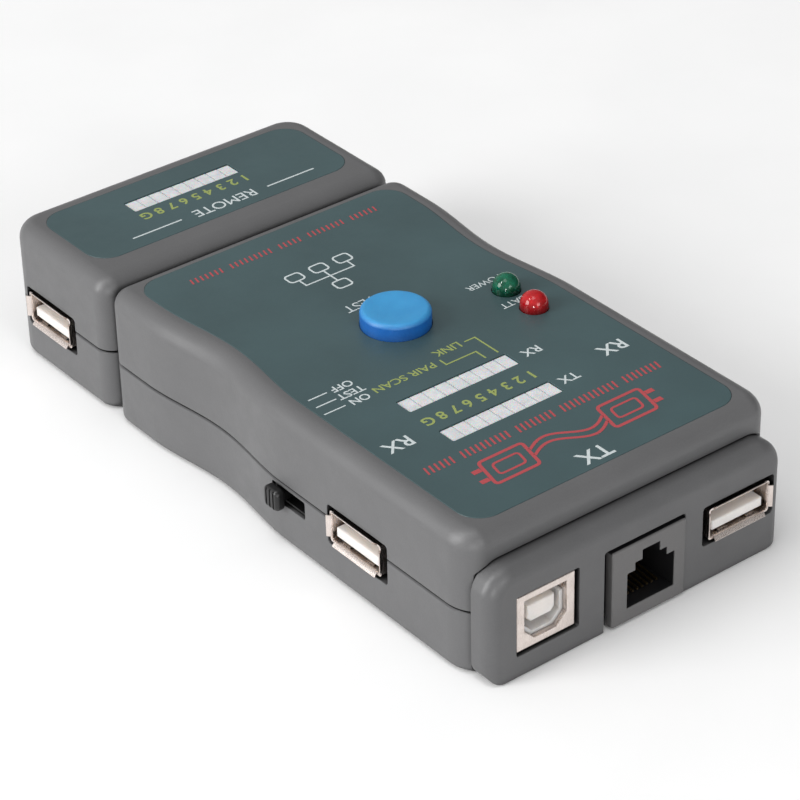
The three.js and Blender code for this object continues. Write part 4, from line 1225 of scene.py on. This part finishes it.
# The sheet of the shell, from its far end out to the flared lip and back in along its inside.
USB_SHEET_LEVELS = (
    (-USB_DEPTH, 0),
    (-0.95, 0),
    (-0.6, 0.08),
    (-0.32, 0.28),
    (-0.14, USB_LIP),
    (-0.04, USB_LIP),
    (0, USB_LIP - 0.04),
    (0, USB_LIP - 0.1),
    (-0.2, 0.08),
    (-0.45, -0.2),
    (-0.9, -USB_SHEET),
    (-USB_DEPTH + 1, -USB_SHEET),
)
# Each bend of a sprung leaf: its level, and how far it stands in from the sheet.
USB_LEAF = ((-1.1, 0.12), (-2.2, 0.35), (-3.4, 0.55), (-4.6, 0.5), (-9.0, 0.12))
USB_TONGUE = (11.1, 1.8)
USB_TONGUE_RAISE = 0.75
CONTACT_THICK = 0.1
USB_B_MOUTH = (4.25, 3.9, 2.0)
USB_B_TONGUE = (2.8, 1.6, 0.8)
USB_B_LINING = 0.65
BAND_SIDEWAYS = Matrix(((0, 0, -1, 0), (0, 1, 0, 0), (1, 0, 0, 0), (0, 0, 0, 1)))


def leaf(path, thickness, across, width, place):
    """A bent metal strip whose path is (outward, upward) points, this far across the mouth."""
    low, high = -across - width / 2, -across + width / 2
    return band(path, thickness, low, high, place @ BAND_SIDEWAYS)


def make_usb_a(name, out, body):
    """A serial socket: a plated shell with a flared, notched lip and sprung leaves, and a tongue."""
    shell_node = name + "_shell"
    high, middle = box(shell_node)[1], centre_of(shell_node)
    mouth = (high.x, middle.y, middle.z) if out[0] else (middle.x, high.y, middle.z)
    place = facing(out, mouth)
    width, height = USB_TUBE
    outline = rounded(width, height, 0.45, 5)
    shell = lofted(name + "_plated_shell", outline, USB_SHEET_LEVELS, place)
    notch = 4
    across = width / 2 + USB_LIP - USB_NOTCH[0] + notch / 2
    up = height / 2 + USB_LIP - USB_NOTCH[1] + notch / 2
    notches = []
    for side in (-1, 1):
        for level in (-1, 1):
            corner = rounded(notch, notch, 0.3, 3, (side * across, level * up))
            notches.append(lofted("notch", corner, [(-USB_NOTCH_DEPTH, 0), (FAR, 0)], place))
    combine(shell, notches)
    present(shell, body, nickel, "nickel", shell_node)

    leaves = []
    inner = height / 2 - USB_SHEET
    for side in (-1, 1):
        for across in (-3.1, 3.1):
            path = [(level, side * (inner - drop)) for level, drop in USB_LEAF]
            leaves.append(leaf(path, 0.16, across, 1.9, place))
    present(merged(name + "_leaves", leaves), body, nickel, "nickel")

    half_thick = USB_TONGUE[1] / 2
    tongue_middle = -inner + USB_TONGUE_RAISE + half_thick
    outline = rounded(*USB_TONGUE, 0.2, 3, (0, tongue_middle))
    levels = [(-USB_DEPTH + 1.3, 0)] + [(level - 1.0, grow) for level, grow in rim(0, 0.25, 3)]
    tongue = lofted(name + "_moulded_tongue", outline, levels, place)
    present(tongue, body, white_plastic, "white_plastic", name + "_tongue")

    contacts = []
    face = tongue_middle + half_thick
    for across in (-3.5, -1.0, 1.0, 3.5):
        path = [(-4.4, face - 0.1), (-4.6, face + 0.08), (-10.5, face + 0.08)]
        contacts.append(leaf(path, CONTACT_THICK, across, 1.0, place))
    present(merged(name + "_contacts", contacts), body, gold, "gold")


def cut_cornered(half_width, half_height, cut):
    """A rectangle whose two lower corners are cut off."""
    upper = [(half_width, half_height), (-half_width, half_height)]
    left = [(-half_width, -half_height + cut), (-half_width + cut, -half_height)]
    right = [(half_width - cut, -half_height), (half_width, -half_height + cut)]
    return polygon(upper + left + right)


def make_usb_b():
    """The square serial socket: a plated shell, a lining with one open corner, and a tongue."""
    node, body = "usb_b_shell", "main_unit"
    middle, size = centre_of(node), size_of(node)
    place = facing_end(middle.x, box(node)[1].y, middle.z)
    mouth = cut_cornered(*USB_B_MOUTH)
    levels = [(-size.y, 0)] + rim(0, 0.3, 4)
    shell = lofted("usb_b_plated_shell", rounded(size.x, size.z, 0.35, 4), levels, place)
    combine(shell, [hole(mouth, place, size.y - 1.1, 0.3)])
    present(shell, body, nickel, "nickel", node)

    levels = [(-size.y + 1.2, -0.02), (-1.0, -0.02)]
    levels += [(-1.0, -USB_B_LINING), (-size.y + 2.0, -USB_B_LINING)]
    lining = lofted("usb_b_lining", mouth, levels, place)
    open_corner = rounded(4, 3, 0.4, 3, (3.6, 3.4))
    combine(lining, [lofted("corner", open_corner, [(-8, 0), (FAR, 0)], place)])
    present(lining, body, white_plastic, "white_plastic")

    levels = [(-size.y + 1.4, 0)] + [(level - 1.2, grow) for level, grow in rim(0, 0.3, 3)]
    tongue = lofted("usb_b_moulded_tongue", cut_cornered(*USB_B_TONGUE), levels, place)
    present(tongue, body, white_plastic, "white_plastic", "usb_b_tongue")

    contacts = []
    face = USB_B_TONGUE[1]
    for side in (-1, 1):
        for across in (-1.25, 1.25):
            path = [(-4.6, side * (face - 0.05)), (-4.8, side * (face + 0.08))]
            path.append((-11, side * (face + 0.08)))
            contacts.append(leaf(path, CONTACT_THICK, across, 0.9, place))
    present(merged("usb_b_contacts", contacts), body, gold, "gold")


# Each step of a modular jack's mouth: its width, floor and roof.
MOUTH_STEPS = ((10.0, 3.0, 9.8), (6.7, 9.6, 11.3), (3.7, 11.1, 13.1))
MOUTH_OFFSET = 0.4
MOUTH_DEPTH = 14
JACK_FOOT = 2.3
JACK_PLATE = 1.6
JACK_FACE_DEPTH = 0.9


def make_jack(name, out, body):
    """A modular jack with its stepped mouth. Behind the face it is painted near-black, as shade."""
    node = name + "_jack"
    low, high = box(node)
    middle = centre_of(node)
    if out[1]:
        width, depth = high.x - low.x, high.y - low.y
        place = facing(out, (middle.x, high.y, 0))
    else:
        width, depth = high.y - low.y, high.x - low.x
        place = facing(out, (low.x, middle.y, 0))
    outline = rounded(width, high.z - JACK_FOOT, 0.3, 3, (0, (high.z + JACK_FOOT) / 2))
    jack = lofted(node + "_moulded", outline, [(-depth, 0)] + rim(0, 0.3, 4), place)
    if low.z < WALL:
        plate_outline = rounded(width, high.z - low.z, 0.3, 3, (0, (high.z + low.z) / 2))
        plate = lofted("plate", plate_outline, [(-JACK_PLATE, 0)] + rim(0, 0.3, 4), place)
        combine(jack, [plate], "UNION")
    cuts = []
    for step_width, floor, roof in MOUTH_STEPS:
        outline = rounded(step_width, roof - floor, 0.12, 2, (MOUTH_OFFSET, (roof + floor) / 2))
        cuts.append(hole(outline, place, MOUTH_DEPTH, HOLE_EDGE))
    combine(jack, cuts)
    present(jack, body, jack_plastic, "jack_plastic", node)
    # Painted shade: faces deeper than the front face get the near-black finish.
    jack.data.materials.append(jack_painted_shade.material)
    inward = place.inverted()
    for face in jack.data.polygons:
        if (inward @ (face.center / MM)).z < -JACK_FACE_DEPTH:
            face.material_index = 1
    keep(name + "_contacts", contact_wire)


make_usb_a("usb_a_end", (0, 1, 0), "main_unit")
make_usb_a("usb_a_side", (1, 0, 0), "main_unit")
make_usb_a("remote_usb_a", (1, 0, 0), "remote_unit")
make_usb_b()
make_jack("rj45_tx", (0, 1, 0), "main_unit")
make_jack("rj45_rx", (-1, 0, 0), "main_unit")
make_jack("remote_rj45", (-1, 0, 0), "remote_unit")

# ---- Underside ----

SCREW_SHANK = 1.2
SCREW_POINT = 1.5
SCREW_HEAD = 1.7
# The edge of the head: the share of its radius, and how far below its top.
SCREW_DOME = ((1, 0.6), (0.93, 0.3), (0.75, 0.1), (0.5, 0))
SCREW_CROSS = (2.7, 0.55)
DOOR_CORNER = 1.2
DOOR_GROOVE_LEVELS = ((-0.5, -0.15), (-0.3, 0), (-0.1, 0), (0, 0.12), (1, 0.12))


def make_screw(node, body):
    """A pan-head screw with a cross recess."""
    size = size_of(node)
    radius = size.x / 2
    place = underneath(node, box(node)[0].z)
    profile = [(0, -size.z), (SCREW_SHANK, -size.z + SCREW_POINT)]
    profile += [(SCREW_SHANK, -SCREW_HEAD), (radius, -SCREW_HEAD)]
    profile += [(radius * share, -drop) for share, drop in SCREW_DOME] + [(0, 0)]
    screw = turned(node + "_cross_head", profile, place, 40)
    cuts = []
    for width, height in (SCREW_CROSS, SCREW_CROSS[::-1]):
        outline = rounded(width, height, 0.22, 2)
        cuts.append(lofted("cross", outline, [(-1.0, -0.2), (1.0, 0.2)], place))
    combine(cuts[0], [cuts[1]], "UNION")
    combine(screw, [cuts[0]])
    present(screw, body, steel, "steel", node)


def make_door():
    """The battery door, with five grip grooves at its free edge."""
    node = "battery_door"
    size, middle = size_of(node), centre_of(node)
    outline = rounded(size.x, size.y, DOOR_CORNER, 4)
    place = underneath(node)
    door = lofted("battery_door_moulded", outline, [(-size.z, 0)] + rim(0, 0.35, 3), place)
    grooves = []
    for index in range(5):
        y = middle.y - along_y(87 + 2.2 * index)
        groove = rounded(18, 0.9, 0.44, 6, (0, y))
        grooves.append(lofted("groove", groove, DOOR_GROOVE_LEVELS, place))
    combine(door, grooves)
    present(door, "battery_cover", casing, "casing", node)


for screw_index in (1, 2, 3, 4):
    make_screw(f"case_screw_{screw_index}", "main_unit")
for screw_index in (1, 2):
    make_screw(f"remote_screw_{screw_index}", "remote_unit")
make_door()

# ---- What stays as the CAD made it ----

BLACK_NODES = (
    "controller_chip",
    "battery_snap",
    "test_button_plunger",
    "test_switch_body",
    "mode_switch_body",
)
for black_node in BLACK_NODES:
    keep(black_node, black_plastic)
for board_node in ("main_board", "remote_board"):
    keep(board_node, board_finish)
for screw_node in ("board_screw_1", "board_screw_2", "remote_board_screw"):
    keep(screw_node, steel)
keep("battery_9v", battery_finish)
keep("battery_lead_red", red_lead)
keep("battery_lead_black", black_lead)

# ---- Floor, light and camera: places in metres, powers in watts ----

FLOOR_SIDE = 3000
FLOOR_CORNER = 300
FLOOR_LEVELS = ((-10, 0), (-0.02, 0))
WORLD_STRENGTH = 0.68
WORLD_DIM_SHARE = 0.2
WORLD_DIM_END = -0.9
# Each lamp: its name, its place, how wide it is and its power.
LAMPS = (
    ("key", (1.28, -0.34, 0.62), 0.8, 13.4),
    ("end_fill", (0.1, 1.2, 0.5), 0.6, 3.6),
    ("top", (0.3, 0.1, 1.3), 0.6, 2.6),
)
GLINT_PLACES = ((0.75, -0.2, 1.05), (1.2, -0.4, 0.05), (0.8, 0.9, 0.15))
GLINT_SIDE = 0.12
GLINT_POWER = 3
CAMERA_AZIMUTH = 142.52
CAMERA_ELEVATION = 32.93
CAMERA_ROLL = -1.416
CAMERA_DISTANCE = 0.52328
CAMERA_TARGET = (0.0024, 0.0088, 0.013)
CAMERA_LENS = 138.14


def make_floor():
    """A pale seamless floor with a faint mottling."""
    floor = lofted("floor", rounded(FLOOR_SIDE, FLOOR_SIDE, FLOOR_CORNER, 8), FLOOR_LEVELS)
    finish = Finish("floor_paper")
    colour = finish.blotches(40, 3, "fbfbfb", "ffffff")
    finish.set(Base_Color=colour, Roughness=0.9, Specular_IOR_Level=0.1)
    floor.data.materials.append(finish.material)


def add_light(name, place, side, power):
    """A round lamp that points at the origin."""
    data = bpy.data.lights.new(name, "AREA")
    data.shape = "DISK"
    data.size = side
    data.energy = power
    lamp = bpy.data.objects.new(name, data)
    lamp.location = place
    lamp.rotation_mode = "QUATERNION"
    lamp.rotation_quaternion = (-Vector(place)).to_track_quat("-Z", "Y")
    bpy.context.scene.collection.objects.link(lamp)
    return lamp


def make_world():
    """White surroundings that are dimmer towards -X, the side away from the lamps."""
    world = bpy.data.worlds.new("studio")
    world.use_nodes = True
    tree = world.node_tree
    split = tree.nodes.new("ShaderNodeSeparateXYZ")
    tree.links.new(tree.nodes.new("ShaderNodeTexCoord").outputs["Generated"], split.inputs[0])
    spread = tree.nodes.new("ShaderNodeMapRange")
    tree.links.new(split.outputs["X"], spread.inputs["Value"])
    spread.inputs["From Min"].default_value = WORLD_DIM_END
    spread.inputs["From Max"].default_value = 0.0
    spread.inputs["To Min"].default_value = WORLD_DIM_SHARE * WORLD_STRENGTH
    spread.inputs["To Max"].default_value = WORLD_STRENGTH
    background = tree.nodes["Background"]
    background.inputs["Color"].default_value = (1, 1, 1, 1)
    tree.links.new(spread.outputs["Result"], background.inputs["Strength"])
    bpy.context.scene.world = world


def make_camera():
    """A long lens that looks down at the port end and the switch side."""
    azimuth, elevation = math.radians(CAMERA_AZIMUTH), math.radians(CAMERA_ELEVATION)
    x = math.sin(azimuth) * math.cos(elevation)
    y = -math.cos(azimuth) * math.cos(elevation)
    back = Vector((x, y, math.sin(elevation)))
    data = bpy.data.cameras.new("camera")
    data.lens = CAMERA_LENS
    data.sensor_width = 36
    data.clip_start = 0.01
    data.clip_end = 20
    camera = bpy.data.objects.new("camera", data)
    bpy.context.scene.collection.objects.link(camera)
    aim = (-back).to_track_quat("-Z", "Y").to_matrix().to_4x4()
    roll = Matrix.Rotation(math.radians(CAMERA_ROLL), 4, "Z")
    middle = Vector(CAMERA_TARGET)
    camera.matrix_world = Matrix.Translation(middle + back * CAMERA_DISTANCE) @ aim @ roll
    bpy.context.scene.camera = camera


make_floor()
make_world()
for lamp_settings in LAMPS:
    add_light(*lamp_settings)
# Three small lamps, seen only in reflections, give each rounded corner its three bright points.
for glint, glint_place in enumerate(GLINT_PLACES):
    glint_lamp = add_light(f"glint_{glint}", glint_place, GLINT_SIDE, GLINT_POWER)
    glint_lamp.visible_diffuse = False
make_camera()
bpy.context.scene.view_settings.view_transform = "Standard"
